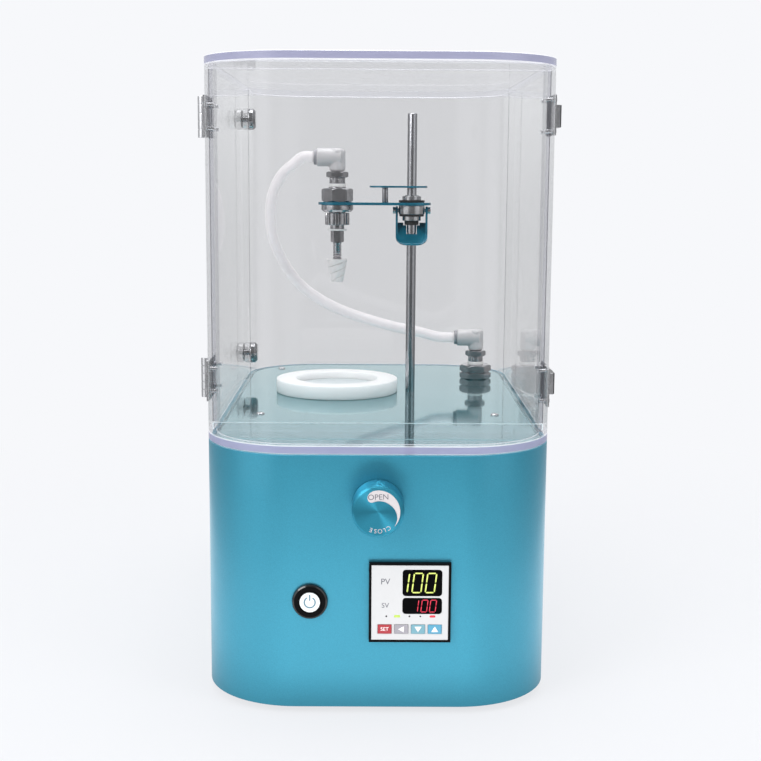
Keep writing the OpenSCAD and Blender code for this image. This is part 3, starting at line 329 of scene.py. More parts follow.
def acrylic(name, tint, gloss):
    """Clear acrylic: gloss by the angle of view, and otherwise a faintly grey pass-through."""
    s = plain(name, (0.97, 0.97, 0.98), 0.03, 1.0, tone=(0.02, 30))
    facing = s.node("ShaderNodeLayerWeight", {"Blend": 0.5}).outputs["Facing"]
    steep = s.node("ShaderNodeMath", {0: facing, 1: 5}, operation="POWER").outputs["Value"]
    return s.see_through(s.span(steep, 0.025, gloss), tint)


def sheet_edge(colour):
    """Polished edge of a clear plate, which gathers light and reads lavender from outside."""
    s = plain("SheetEdge", colour, 0.22, tone=(0.05, 60, 3.0, (1, 1, 6)), Specular_IOR_Level=0.6)
    inside = s.node("ShaderNodeNewGeometry").outputs["Backfacing"]
    return s.see_through(s.span(inside, 0.9, 0.12), (0.95, 0.95, 0.98))


def scatter(weight, depth):
    """Values of a milky plastic, in which light of all colours goes equally deep."""
    return {"Subsurface_Weight": weight, "Subsurface_Scale": depth, "Subsurface_Radius": (1, 1, 1)}


def lit(name, colour, strength):
    return plain(
        name, colour, 0.35, tone=(0.06, 1200), Emission_Color=(*colour, 1), Emission_Strength=strength
    )


def soft_key(name, colour):
    return plain(name, colour, 0.42, tone=(0.06, 700), relief=(0.08, 2400, 1.0))


def metal(name, colour, rough, tone, gloss):
    return plain(name, colour, rough, 1.0, tone, gloss)


def make_finishes(scene):
    """Every material, by the short name that the pieces use."""
    paint, cover, panel = scene.concentrator_paint, scene.concentrator_cover, scene.concentrator_panel
    return {
        # Paint, print and metal
        "paint": metallic_paint(paint.body),
        "deck": plain(
            "DeckPaint", paint.deck, 0.05, 0.85, (0.03, 26), (0.04, 0.08, 160),
            Coat_Weight=0.3, Coat_Roughness=0.02,
        ),
        "teal": plain(
            "TealPaint", paint.arm, 0.16, 0.25, (0.16, 420), (0.12, 0.24, 900),
            Coat_Weight=0.6, Coat_Roughness=0.05,
        ),
        "knob": knob_metal(paint.knob),
        "knob_print": plain(
            "KnobPrint", linear(192, 186, 188), 0.45, tone=(0.04, 900), relief=(0.05, 2600, 1.0)
        ),
        "grey_print": plain("GreyPrint", panel.print_grey, 0.5, tone=(0.1, 1500)),
        "heater_alloy": heater_alloy(),
        "sheet_steel": metal(
            "SheetSteel", (0.5, 0.51, 0.52), 0.34, (0.1, 60), (0.26, 0.42, 140, 3.0, (1, 12, 1))
        ),
        "screw": metal("ScrewSteel", (0.58, 0.58, 0.6), 0.24, (0.12, 500), (0.16, 0.34, 1100)),
        "bright": metal(
            "BrightSteel", (0.45, 0.45, 0.47), 0.16, (0.22, 420, 4.0, (1, 1, 0.02)),
            (0.1, 0.24, 800, 3.0, (1, 1, 0.03)),
        ),
        "nickel": metal("DarkNickel", (0.47, 0.465, 0.48), 0.22, (0.16, 260), (0.13, 0.28, 900)),
        "silver": metal(
            "SilverMetal", (0.6, 0.6, 0.61), 0.22, (0.12, 700, 3.0, (1, 1, 0.1)),
            (0.14, 0.3, 900, 3.0, (1, 1, 8)),
        ),
        "chrome": metal("Chrome", (0.3, 0.3, 0.31), 0.08, (0.06, 300), (0.05, 0.12, 900)),
        "hinge": metal(
            "HingeSteel", (0.68, 0.68, 0.7), 0.32, (0.14, 200), (0.18, 0.36, 900, 3.0, (1, 1, 0.1))
        ),
        "brass": metal("Brass", linear(201, 168, 98), 0.25, (0.1, 500), (0.18, 0.34, 900)),
        # Rubber, plastic and what lies under the heated block
        "rubber": plain("Rubber", (0.018, 0.018, 0.019), 0.75, tone=(0.3, 300), relief=(0.2, 1600)),
        "heater_film": plain("HeaterFilm", linear(178, 84, 38), 0.3, tone=(0.2, 200)),
        "insulation": plain(
            "Insulation", linear(217, 209, 191), 0.95, tone=(0.16, 240, 6.0), relief=(0.6, 900, 6.0),
            height=0.0003,
        ),
        "fluor": fluor_plastic(),
        "tube": milky_tube_painted_glow(scene.concentrator_hose.body),
        "white": plain("WhitePlastic", (0.54, 0.53, 0.54), 0.24, tone=(0.03, 160), gloss=(0.16, 0.28, 700)),
        "plug": plain(
            "PlugPlastic", (0.84, 0.81, 0.81), 0.3, tone=(0.03, 220), gloss=(0.24, 0.36, 700),
            **scatter(0.3, 0.004),
        ),
        "collet": plain("ColletRing", linear(150, 149, 154), 0.32, tone=(0.1, 600)),
        "seal": plain("WhiteSeal", (0.8, 0.8, 0.8), 0.5, tone=(0.05, 400)),
        "black": plain(
            "BlackPlastic", (0.003, 0.003, 0.0035), 0.34, tone=(0.25, 500), relief=(0.08, 2200, 1.0),
            Specular_IOR_Level=0.05,
        ),
        "black_gloss": plain(
            "BlackGloss", (0.003, 0.003, 0.0035), 0.1, tone=(0.2, 300), gloss=(0.09, 0.16, 900),
            Specular_IOR_Level=0.4, Coat_Weight=0.4,
        ),
        "catch": plain("CatchPlastic", (0.03, 0.03, 0.033), 0.42, tone=(0.2, 400), relief=(0.12, 2000, 1.0)),
        # Clear cover: walls, flat plates and the plate on the deck, whose own gloss is lost in the deck's
        "clear": acrylic("ClearSheet", cover.tint, 0.7),
        "plate": acrylic("ClearPlate", cover.plate, 0.5),
        "deck_sheet": acrylic("DeckSheet", cover.plate, 0.03),
        # Their edges: lavender, bevels painted pale as a painted highlight, wall ends, dark seam corners and
        # a painted highlight line over the deck, lit by emission
        "edge": sheet_edge(cover.edge),
        # Painted highlight: the clear sheets' bevels are painted pale and partly solid, so that they read as
        # bright lines along the edges.
        "bevel": plain("SheetBevel", (0.9, 0.9, 0.94), 0.18, tone=(0.03, 200)).see_through(
            0.42, (0.95, 0.95, 0.97)
        ),
        "wall_end": plain("WallEnd", linear(120, 120, 132), 0.16, tone=(0.08, 80)).see_through(
            0.2, (0.94, 0.94, 0.95)
        ),
        "seam": plain("SeamLine", linear(84, 84, 94), 0.3, tone=(0.1, 100)).see_through(
            0.72, (0.9, 0.9, 0.92)
        ),
        # Painted highlight: an emissive pale line on the seam bevel of the door's bottom plate stands in for
        # the glint of its polished edge.
        "painted_glint": lit("SeamGlint", (0.86, 0.92, 0.94), 0.6).see_through(0.95, (0.95, 0.95, 0.97)),
        # Button and controller
        "face": plain(
            "FaceFilm", (0.54, 0.54, 0.544), 0.4, tone=(0.015, 200), relief=(0.03, 3000, 1.0),
            Specular_IOR_Level=0.3,
        ),
        "display": plain(
            "DisplayGlass", (0.002, 0.002, 0.0025), 0.07, tone=(0.2, 200), gloss=(0.05, 0.1, 500),
            Specular_IOR_Level=0.02,
        ),
        "upper": lit("UpperDigits", panel.upper, 0.2),
        "lower": lit("LowerDigits", panel.lower, 0.12),
        "lit_cap": lit("LitCap", (0.66, 0.7, 0.71), 0.1),
        "lamp_green": lit("LampGreen", linear(170, 196, 84), 0.3),
        "lamp_red": lit("LampRed", linear(200, 40, 60), 0.3),
        "symbol": soft_key("SymbolPrint", linear(92, 126, 142)),
        "key_red": soft_key("KeyRed", linear(160, 26, 40)),
        "key_grey": soft_key("KeyGrey", linear(146, 143, 150)),
        "key_teal": soft_key("KeyTeal", linear(104, 152, 166)),
        "key_blue": soft_key("KeyBlue", linear(72, 146, 176)),
        "key_print": soft_key("KeyPrint", (0.86, 0.86, 0.86)),
    }


finishes = {}


def material(name):
    """The material of a finish; all of them are made at the first call."""
    if not finishes:
        finishes.update(make_finishes(bpy.context.scene))
    return finishes[name].data


# Mesh building

AXES = {
    "+Z": Matrix(((1, 0, 0), (0, 1, 0), (0, 0, 1))),
    "-Y": Matrix(((1, 0, 0), (0, 0, -1), (0, 1, 0))),
    "-X": Matrix(((0, 0, -1), (1, 0, 0), (0, -1, 0))),
    "+X": Matrix(((0, 0, 1), (1, 0, 0), (0, 1, 0))),
}
ON_AXIS = 1e-6


def fillet(points, radius, steps=3):
    """Round the corners of a closed outline of (radius, height) points, except those on the axis."""
    out = []
    straight, shortest, largest_share = math.radians(172), 1e-9, 0.45
    for i, point in enumerate(points):
        b = Vector(point)
        u = Vector(points[i - 1]) - b
        v = Vector(points[(i + 1) % len(points)]) - b
        if point[0] < ON_AXIS or min(u.length, v.length) < shortest or u.angle(v) > straight:
            out.append(tuple(point))
            continue
        cut = min(radius / math.tan(u.angle(v) / 2), largest_share * u.length, largest_share * v.length)
        start, end = b + u.normalized() * cut, b + v.normalized() * cut
        for k in range(steps + 1):
            t = k / steps
            out.append(tuple((1 - t) ** 2 * start + 2 * t * (1 - t) * b + t * t * end))
    return out


def band(inner, outer, low, high, soft=0.0, steps=3):
    """Outline of a ring or, with no inner radius, of a disc, its corners softened."""
    points = [(inner, low), (outer, low), (outer, high), (inner, high)]
    return fillet(points, soft, steps) if soft else points


def ring(bm, radius_at, z, place, axis, steps):
    """Vertices round an axis through place, in millimetres, at a radius that follows the angle."""
    spots = []
    for k in range(steps):
        a = math.tau * k / steps
        r = radius_at(a)
        spot = Vector((r * math.cos(a), r * math.sin(a), z))
        spots.append(bm.verts.new((AXES[axis] @ spot + Vector(place)) * MM))
    return spots


def bridge(bm, rings, mat=0, closed=True):
    """Join rings of vertices to each other with faces; a ring of one vertex is a pole."""
    pairs = list(zip(rings, rings[1:])) + ([(rings[-1], rings[0])] if closed else [])
    for a, b in pairs:
        n = max(len(a), len(b))
        if n == 1:
            continue
        for k in range(n):
            corner = [a[k % len(a)], a[(k + 1) % len(a)], b[(k + 1) % len(b)], b[k % len(b)]]
            corner = list(dict.fromkeys(corner))
            if len(corner) > 2:
                bm.faces.new(corner).material_index = mat


def lathe(bm, profile, place, axis="+Z", steps=64, mat=0):
    """Revolve a closed outline of (radius, height) points about an axis through place."""
    bridge(bm, [
        ring(bm, lambda a, r=r: r, z, place, axis, 1 if r < ON_AXIS else steps) for r, z in profile
    ], mat)


def nut(bm, radius_at, levels, bore, place, steps):
    """Upright piece between levels whose outline is radius_at(angle, level), with a round bore."""
    spot = (*place, 0)
    rings = [ring(bm, lambda a, z=z: radius_at(a, z), z, spot, "+Z", steps) for z in levels]
    rings += [ring(bm, lambda a: bore / 2, z, spot, "+Z", steps) for z in (levels[-1], levels[0])]
    bridge(bm, rings)


def hex_nut(bm, across, z0, z1, place, bore, turn=0.0):
    """Hexagon with the turned chamfer of a real nut at both ends."""
    face_share, chamfer_rings = 0.975, 6
    corner = across / 2 / math.cos(math.radians(30))
    inner = across / 2 * face_share
    slope = math.tan(math.radians(30))
    drop = (corner - inner) * slope

    def radius(a, z):
        flat = across / 2 / math.cos((a - math.radians(turn)) % math.radians(60) - math.radians(30))
        end = min(z - z0, z1 - z)
        return min(flat, inner + end / slope) if end < drop else flat

    steps = [drop * k / chamfer_rings for k in range(chamfer_rings + 1)]
    levels = [z0 + s for s in steps] + [z1 - s for s in reversed(steps)]
    nut(bm, radius, levels, bore, place, 144)


def fluted_nut(bm, radius, depth, count, z0, z1, place, bore, soft=0.35):
    """Round nut with upright flutes and softened ends."""
    narrowing, taper = 3, 0.7

    def outline(a, z):
        groove = max(0.0, math.cos(count * a)) ** narrowing * depth
        end = min(z - z0, z1 - z)
        return radius - groove - max(0.0, soft - end) * taper

    levels = [z0, z0 + soft / 2, z0 + soft, z1 - soft, z1 - soft / 2, z1]
    nut(bm, outline, levels, bore, place, 12 * count)


def solid_copy(node, bevel=0.0, segments=2, bevel_mat=None, where=None):
    """A mesh of a CAD node with its triangles joined, flat faces cleaned and its sharp edges softened."""
    bm = bmesh.new()
    bm.from_mesh(frame["nodes"][node].data)
    weld, flat, sharp = 2e-6, math.radians(0.4), math.radians(30)
    bmesh.ops.remove_doubles(bm, verts=bm.verts[:], dist=weld)
    bmesh.ops.dissolve_limit(
        bm, angle_limit=flat, use_dissolve_boundaries=False, verts=bm.verts[:], edges=bm.edges[:]
    )
    bmesh.ops.recalc_face_normals(bm, faces=bm.faces[:])
    for face in bm.faces:
        face.material_index = 0
    if bevel > 0:
        edges = [e for e in bm.edges if len(e.link_faces) == 2 and e.calc_face_angle(0) > sharp]
        made = bmesh.ops.bevel(
            bm, geom=[e for e in edges if not where or where(e)], offset=bevel * MM, offset_type="OFFSET",
            segments=segments, profile=0.7, affect="EDGES", clamp_overlap=False,
            material=-1 if bevel_mat is None else bevel_mat,
        )
        if bevel_mat is not None:
            for face in made["faces"]:
                face.material_index = bevel_mat
    return bm


def to_object(bm, name, materials, angle=32.0, outward=True):
    """Link a bmesh as an object with smooth shading that breaks at sharp edges."""
    if outward:
        bmesh.ops.recalc_face_normals(bm, faces=bm.faces[:])
    mesh = bpy.data.meshes.new(name)
    bm.to_mesh(mesh)
    bm.free()
    for item in materials:
        mesh.materials.append(material(item))
    mesh.shade_smooth()
    mesh.set_sharp_from_angle(angle=math.radians(angle))
    return link_new(name, mesh)


def link_new(name, data):
    obj = bpy.data.objects.new(name, data)
    bpy.context.scene.collection.objects.link(obj)
    return obj


def plain_mesh(obj, name):
    """Object with the plain mesh of another one's modifiers; that one is removed."""
    bpy.context.view_layer.update()
    depsgraph = bpy.context.evaluated_depsgraph_get()
    mesh = bpy.data.meshes.new_from_object(obj.evaluated_get(depsgraph))
    mesh.name = name
    bpy.data.objects.remove(obj)
    return link_new(name, mesh)


def even_normals(obj):
    """Weight the normals by face size, so that wide flat faces stay flat beside their bevels."""
    obj.modifiers.new("Weigh", "WEIGHTED_NORMAL").keep_sharp = True
    return plain_mesh(obj, obj.name)


def stands_for(obj, node):
    """The piece takes the place of a CAD node."""
    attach(obj, BODY_OF[node])
    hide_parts(node)


def trim(obj, node):
    """A flat print that sits on a CAD node and keeps it; a thickness behind its face closes it."""
    film = obj.modifiers.new("Film", "SOLIDIFY")
    film.thickness, film.offset = PRINT * MM, -1
    obj = plain_mesh(obj, obj.name)
    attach(obj, BODY_OF[node])


def piece(bm, node, *materials, angle=32.0):
    """A mesh in place of a CAD node, named after it."""
    stands_for(to_object(bm, node.title().replace("_", ""), materials, angle), node)


def turned(node, mat, place, *outlines, steps=64):
    """A piece of outlines that turn about an upright axis through place."""
    bm = bmesh.new()
    for outline in outlines:
        lathe(bm, outline, place, steps=steps)
    piece(bm, node, mat)


def finish_node(node, mat, bevel, segments=2, where=None):
    """A softened copy of a CAD node in its place."""
    bm = solid_copy(node, bevel, segments, where=where)
    stands_for(even_normals(to_object(bm, f"Finished_{node}", [mat])), node)


def coat_node(node, mat):
    """Give a CAD node, as it is, a material."""
    data = frame["nodes"][node].data
    data.materials.clear()
    data.materials.append(material(mat))


def smooth_line(points, steps):
    """Catmull-Rom curve through points."""
    pts = [Vector(p) for p in points]
    out = []
    for i in range(len(pts) - 1):
        a, b, c, d = pts[max(i - 1, 0)], pts[i], pts[i + 1], pts[min(i + 2, len(pts) - 1)]
        for k in range(steps):
            t = k / steps
            out.append(0.5 * (
                2 * b + (c - a) * t + (2 * a - 5 * b + 4 * c - d) * t * t + (3 * b - a - 3 * c + d) * t ** 3
            ))
    return out + [pts[-1]]


def flat_shape(bm, outline, y):
    """A flat printed face towards the front, from (x, z) points in millimetres."""
    face = bm.faces.new([bm.verts.new(Vector((x, y, z)) * MM) for x, z in outline])
    face.normal_update()
    if face.normal.y > 0:
        face.normal_flip()


def rounded_box(cx, cz, w, h, r, steps=5):
    out = []
    for sx, sz, start in ((1, 1, 0), (-1, 1, 90), (-1, -1, 180), (1, -1, 270)):
        for k in range(steps + 1):
            a = math.radians(start + 90 * k / steps)
            out.append((cx + sx * (w / 2 - r) + r * math.cos(a), cz + sz * (h / 2 - r) + r * math.sin(a)))
    return out


def word(text, size, x, z, y, name, mat, turn=0.0):
    """Generic lettering as a flat mesh that faces the front."""
    curve = bpy.data.curves.new(name, "FONT")
    curve.body = text
    curve.size = size * MM
    curve.align_x = curve.align_y = "CENTER"
    curve.resolution_u = 4
    made = plain_mesh(link_new(name + "_text", curve), name)
    made.data.transform(
        Matrix.Translation(Vector((x, y, z)) * MM) @ Matrix.Rotation(math.radians(90), 4, "X")
        @ Matrix.Rotation(turn, 4, "Z")
    )
    made.data.materials.clear()
    made.data.materials.append(material(mat))
    return made


# Geometry node trees


def new_tree(name, inputs):
    """A tree with named inputs of given kinds beside its geometry, and the sockets that they feed."""
    tree = bpy.data.node_groups.new(name, "GeometryNodeTree")
    tree.is_modifier = True
    for label, kind in {"Geometry": "Geometry", **inputs}.items():
        tree.interface.new_socket(label, in_out="INPUT", socket_type="NodeSocket" + kind)
    tree.interface.new_socket("Geometry", in_out="OUTPUT", socket_type="NodeSocketGeometry")
    return tree, add_node(tree, "NodeGroupInput").outputs


def end_tree(tree, geometry, finish):
    """Make instances real, set the material and lead to the output."""
    real = add_node(tree, "GeometryNodeRealizeInstances", {"Geometry": geometry}).outputs["Geometry"]
    coated = add_node(tree, "GeometryNodeSetMaterial", {"Geometry": real, "Material": finish})
    add_node(tree, "NodeGroupOutput", {"Geometry": coated.outputs["Geometry"]})
    return tree


def tube_tree():
    """Hollow tube that follows a curve: an inner and an outer wall."""
    tree, given = new_tree("HoseAlongPath", {
        "Radius": "Float", "Wall": "Float", "Sides": "Int", "Material": "Material",
    })
    bore = add_node(tree, "ShaderNodeMath", {0: given["Radius"], 1: given["Wall"]}, operation="SUBTRACT")
    join = add_node(tree, "GeometryNodeJoinGeometry")
    for radius, inner in ((bore.outputs[0], True), (given["Radius"], False)):
        outline = add_node(tree, "GeometryNodeCurvePrimitiveCircle", {
            "Resolution": given["Sides"], "Radius": radius,
        }).outputs["Curve"]
        wall = add_node(tree, "GeometryNodeCurveToMesh", {
            "Curve": given["Geometry"], "Profile Curve": outline,
        }).outputs["Mesh"]
        if inner:
            wall = add_node(tree, "GeometryNodeFlipFaces", {"Mesh": wall}).outputs["Mesh"]
        tree.links.new(wall, join.inputs["Geometry"])
    smooth = add_node(tree, "GeometryNodeSetShadeSmooth", {"Geometry": join.outputs["Geometry"]})
    return end_tree(tree, smooth.outputs["Geometry"], given["Material"])


def screw_tree():
    """One screw on each point of a mesh, turned to the point's stored facing."""
    tree, given = new_tree("ScrewsOnPoints", {"Screw": "Object", "Size": "Float", "Material": "Material"})
    facing = add_node(tree, "GeometryNodeInputNamedAttribute", {"Name": "facing"}, data_type="FLOAT_VECTOR")
    align = add_node(
        tree, "FunctionNodeAlignRotationToVector", {"Vector": facing.outputs["Attribute"]}, axis="Z"
    )
    screw = add_node(tree, "GeometryNodeObjectInfo", {"Object": given["Screw"]})
    points = add_node(tree, "GeometryNodeMeshToPoints", {"Mesh": given["Geometry"]})
    copies = add_node(tree, "GeometryNodeInstanceOnPoints", {
        "Points": points.outputs["Points"], "Instance": screw.outputs["Geometry"],
        "Rotation": align.outputs["Rotation"], "Scale": given["Size"],
    })
    return end_tree(tree, copies.outputs["Instances"], given["Material"])


def with_nodes(obj, tree, values, name):
    """Run a node tree on an object and return the plain mesh that it makes."""
    modifier = obj.modifiers.new(tree.name, "NODES")
    modifier.node_group = tree
    for item in tree.interface.items_tree:
        if item.in_out == "INPUT" and item.name in values:
            modifier[item.identifier] = values[item.name]
    return plain_mesh(obj, name)


# Operators


class CONCENTRATOR_OT_stage(bpy.types.Operator):
    """Set the camera, the studio lights, the pale floor and the plain background"""

    bl_idname = "concentrator.stage"
    bl_label = "Stage"

    # Brightness of the studio: round it from the back over the left, front and right, and from below to above
    ROUND = [
        (0.0, 1.25), (0.03, 1.2), (0.06, 0.7), (0.13, 0.6), (0.2, 0.6), (0.26, 0.55), (0.3, 1.5),
        (0.38, 1.5), (0.43, 0.3), (0.56, 0.25), (0.61, 1.1), (0.68, 1.1), (0.73, 0.5), (0.8, 0.6),
        (0.87, 0.6), (0.94, 0.7), (0.97, 1.2), (1.0, 1.25),
    ]
    UPWARDS = [(0.0, 0.7), (0.47, 0.75), (0.55, 1.0), (0.75, 1.2), (0.9, 1.6), (1.0, 1.6)]
    # Painted pool of light and painted shadow on the floor, as gloss sees them: brightness from the foot of
    # the body out to the reach below
    PAINTED_POOL = [(0.0, 0.7), (0.05, 1.05), (0.14, 1.5), (0.3, 1.6), (0.6, 0.75), (1.0, 0.35)]
    PAINTED_POOL_REACH = 0.6

    def execute(self, context):
        scene, settings = context.scene, context.scene.concentrator_stage
        scene.view_settings.view_transform = "Standard"
        scene.cycles.transparent_max_bounces = 96
        scene.cycles.sample_clamp_indirect = 1.5
        scene.cycles.blur_glossy = 4.0
        self.camera(scene)
        self.world(scene, settings)
        self.floor(settings)
        self.shade()
        centre = (0, 0, 0.2)
        self.light("KeyLight", (-0.95, -1.15, 1.05), centre, 0.9, settings.key_power)
        fill = self.light("FillLight", (1.2, -0.9, 0.7), centre, 0.8, settings.fill_power)
        fill.visible_glossy = False
        self.light("TopLight", (0.05, 0.1, 1.5), centre, 0.9, settings.top_power)
        self.light("LowLight", (0.0, -0.55, -0.11), (0, -0.19, 0.09), 0.26, settings.low_power, 0.1)
        return {"FINISHED"}

    def camera(self, scene):
        """The photograph's camera: place in millimetres, and yaw, pitch and roll."""
        place, yaw, pitch, roll = (-3.8, -950.8, 316.8), 0.0063, 0.1523, -0.0065
        forward = Vector((
            math.sin(yaw) * math.cos(pitch), math.cos(yaw) * math.cos(pitch), -math.sin(pitch)
        ))
        level = Vector((math.cos(yaw), -math.sin(yaw), 0))
        down = forward.cross(level)
        right = math.cos(roll) * level + math.sin(roll) * down
        up = math.sin(roll) * level - math.cos(roll) * down
        data = bpy.data.cameras.new("PhotoCamera")
        data.sensor_width = 36
        data.lens = 63.82
        data.clip_start, data.clip_end = 0.05, 20
        scene.camera = link_new("PhotoCamera", data)
        turn = Matrix((right, up, -forward)).transposed().to_4x4()
        scene.camera.matrix_world = Matrix.Translation(Vector(place) * MM) @ turn

    def world(self, scene, settings):
        """Plain background for the camera; for light and gloss, a studio with soft boxes and dark gaps."""
        scene.world = bpy.data.worlds.new("Studio")
        scene.world.use_nodes = True
        tree = scene.world.node_tree
        tree.nodes.clear()
        ray = add_node(tree, "ShaderNodeTexCoord").outputs["Generated"]
        x, y, z = add_node(tree, "ShaderNodeSeparateXYZ", {"Vector": ray}).outputs
        front = add_node(tree, "ShaderNodeMath", {0: y, 1: -1}, operation="MULTIPLY").outputs[0]
        around = add_node(tree, "ShaderNodeMath", {0: x, 1: front}, operation="ARCTAN2").outputs[0]
        side = level_ramp(tree, around, -math.pi, math.pi, self.ROUND)
        height = level_ramp(tree, z, -1, 1, self.UPWARDS)
        level = add_node(tree, "ShaderNodeMath", {0: side, 1: height}, operation="MULTIPLY").outputs[0]
        studio = add_node(tree, "ShaderNodeBackground", {"Color": (0.97, 0.985, 1, 1), "Strength": level})
        backdrop = add_node(tree, "ShaderNodeBackground", {"Color": (*settings.backdrop, 1)})
        mix = add_node(tree, "ShaderNodeMixShader", {
            "Fac": add_node(tree, "ShaderNodeLightPath").outputs["Is Camera Ray"],
            1: studio.outputs["Background"], 2: backdrop.outputs["Background"],
        })
        add_node(tree, "ShaderNodeOutputWorld", {"Surface": mix.outputs["Shader"]})

    def floor(self, settings):
        """Round pale floor: it takes a soft shadow near the object and runs out into the background.

        Gloss sees a painted pool of light on it in front of the object, and a painted shadow along its foot;
        both are emission that follows the distance from the body.
        """
        radius, backdrop = settings.floor_radius, (*settings.backdrop, 1)
        s = Surface("PaleFloor", settings.floor_tone, 0.8)
        place = s.node("ShaderNodeTexCoord").outputs["Object"]
        far = s.node("ShaderNodeVectorMath", {0: place}, operation="LENGTH").outputs["Value"]
        fade = s.node("ShaderNodeMapRange", {
            "Value": far, "From Min": radius * 0.45, "From Max": radius * 0.95, "To Min": 0.78, "To Max": 1.0,
        }, interpolation_type="SMOOTHSTEP").outputs["Result"]
        glow = s.node("ShaderNodeEmission", {"Color": backdrop}).outputs["Emission"]
        # Painted pool of light and painted shadow: emission strength set by the distance from the body's
        # outline, seen by every ray except the camera's.
        level = level_ramp(s.tree, self.outline_distance(s, place), 0, self.PAINTED_POOL_REACH, self.PAINTED_POOL)
        pool = s.node("ShaderNodeEmission", {"Color": backdrop, "Strength": level}).outputs["Emission"]
        seen = s.node("ShaderNodeLightPath").outputs["Is Camera Ray"]
        s.show(s.mix(seen, pool, s.mix(fade, s.shader.outputs["BSDF"], glow)))
        bm = bmesh.new()
        below = Matrix.Translation((0, 0, -0.0002))
        bmesh.ops.create_circle(bm, cap_ends=True, segments=96, radius=radius, matrix=below)
        mesh = bpy.data.meshes.new("Floor")
        bm.to_mesh(mesh)
        bm.free()
        mesh.materials.append(s.data)
        obj = link_new("Floor", mesh)
        obj.visible_shadow = False

    def outline_distance(self, s, place):
        """Distance of a place on the floor from the body's outline, which has round corners."""
        corner = 0.05
        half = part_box("body_shell")[1] - Vector((corner, corner, 0))
        steps = (("ABSOLUTE", (0, 0, 0)), ("SUBTRACT", (half.x, half.y, 0)), ("MAXIMUM", (0, 0, 0)))
        for operation, other in steps:
            moved = s.node("ShaderNodeVectorMath", {0: place, 1: other}, operation=operation)
            place = moved.outputs["Vector"]
        length = s.node("ShaderNodeVectorMath", {0: place}, operation="LENGTH").outputs["Value"]
        return s.node("ShaderNodeMath", {0: length, 1: corner}, operation="SUBTRACT").outputs["Value"]

    def shade(self):
        """Upright plate under the floor that keeps the low light off the foot of the body."""
        y, side, top, bottom = -0.25, 0.3, -0.004, -0.2
        mesh = bpy.data.meshes.new("LowShade")
        corners = [(-side, y, bottom), (side, y, bottom), (side, y, top), (-side, y, top)]
        mesh.from_pydata(corners, [], [(0, 1, 2, 3)])
        obj = link_new("LowShade", mesh)
        obj.visible_camera = obj.visible_glossy = obj.visible_diffuse = False

    def light(self, name, place, target, size, power, depth=None):
        """A round light or, with a depth of its own, an oval one."""
        data = bpy.data.lights.new(name, "AREA")
        data.shape = "ELLIPSE"
        data.size, data.size_y = size, depth or size
        data.energy = power
        obj = link_new(name, data)
        obj.location = place
        obj.rotation_mode = "QUATERNION"
        obj.rotation_quaternion = (Vector(target) - Vector(place)).to_track_quat("-Z", "Y")
        obj.visible_camera = False
        return obj


class CONCENTRATOR_OT_hose(bpy.types.Operator):
    """Lay the milky vacuum hose between its two elbows"""

    bl_idname = "concentrator.hose"
    bl_label = "Vacuum hose"

    STEPS = 5
    SIDES = 28

    def execute(self, context):
        settings = context.scene.concentrator_hose
        line = [p * MM for p in smooth_line(HOSE_PATH, self.STEPS)]
        cut = HOSE_SPLIT * self.STEPS
        tree = tube_tree()
        upper = self.stretch(tree, settings, line, range(0, cut + 1), "VacuumHoseUpper")
        lower = self.stretch(tree, settings, line, range(cut, len(line)), "VacuumHoseLower")
        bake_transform(lower)
        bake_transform(upper)
        self.declare(upper, settings, line[:cut + 1])
        self.declare(lower, settings, line[:cut - 1:-1])
        return {"FINISHED"}

    def stretch(self, tree, settings, line, keep, name):
        """The whole hose by node tree, cut to one stretch's rings, so that two stretches share a ring."""
        curve = bpy.data.curves.new(name, "CURVE")
        curve.dimensions = "3D"
        spline = curve.splines.new("POLY")
        spline.points.add(len(line) - 1)
        for point, place in zip(spline.points, line):
            point.co = (*place, 1)
        sides, rings = self.SIDES, len(line)
        made = with_nodes(link_new(name + "_path", curve), tree, {
            "Radius": settings.diameter / 2, "Wall": settings.wall, "Sides": sides,
            "Material": material("tube"),
        }, name)
        bm = bmesh.new()
        bm.from_mesh(made.data)
        bm.verts.ensure_lookup_table()
        for end in (0, rings - 1):
            walls = [[bm.verts[(wall * rings + end) * sides + k] for k in range(sides)] for wall in (0, 1)]
            bridge(bm, walls, closed=False)
        bmesh.ops.recalc_face_normals(bm, faces=bm.faces[:])
        gone = [v for v in bm.verts if (v.index // sides) % rings not in keep]
        bmesh.ops.delete(bm, geom=gone, context="VERTS")
        bm.to_mesh(made.data)
        bm.free()
        return made

    def declare(self, hose, settings, line):
        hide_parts("vacuum_hose")


class CONCENTRATOR_OT_body(bpy.types.Operator):
    """Finish the painted shell, the deck and what they stand on"""

    bl_idname = "concentrator.body"
    bl_label = "Body"

    def execute(self, context):
        rims, near = [corner.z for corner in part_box("body_shell")], 1e-4
        finish_node("body_shell", "paint", 0.5, 3, where=lambda e: all(
            min(abs(v.co.z - z) for z in rims) < near for v in e.verts
        ))
        finish_node("deck_plate", "deck", 0.3)
        finish_node("base_plate", "sheet_steel", 0.3)
        finish_node("rubber_feet", "rubber", 0.8, 3)
        coat_node("deck_posts", "sheet_steel")
        return {"FINISHED"}


class CONCENTRATOR_OT_heater(bpy.types.Operator):
    """Turn the white ring and the heated block, and coat what lies under them"""

    bl_idname = "concentrator.heater"
    bl_label = "Heated seat"

    def execute(self, context):
        seat = (*PLUG, DECK_Z)
        turned("heater_ring", "fluor", seat, band(29.8, 45, 0, 10, 0.9, 4), steps=128)
        turned("heater_block", "heater_alloy", seat, band(0, 29, -22, 5, 0.5), steps=128)
        coat_node("heater_element", "heater_film")
        coat_node("heater_insulation", "insulation")
        coat_node("temperature_probe", "bright")
        return {"FINISHED"}


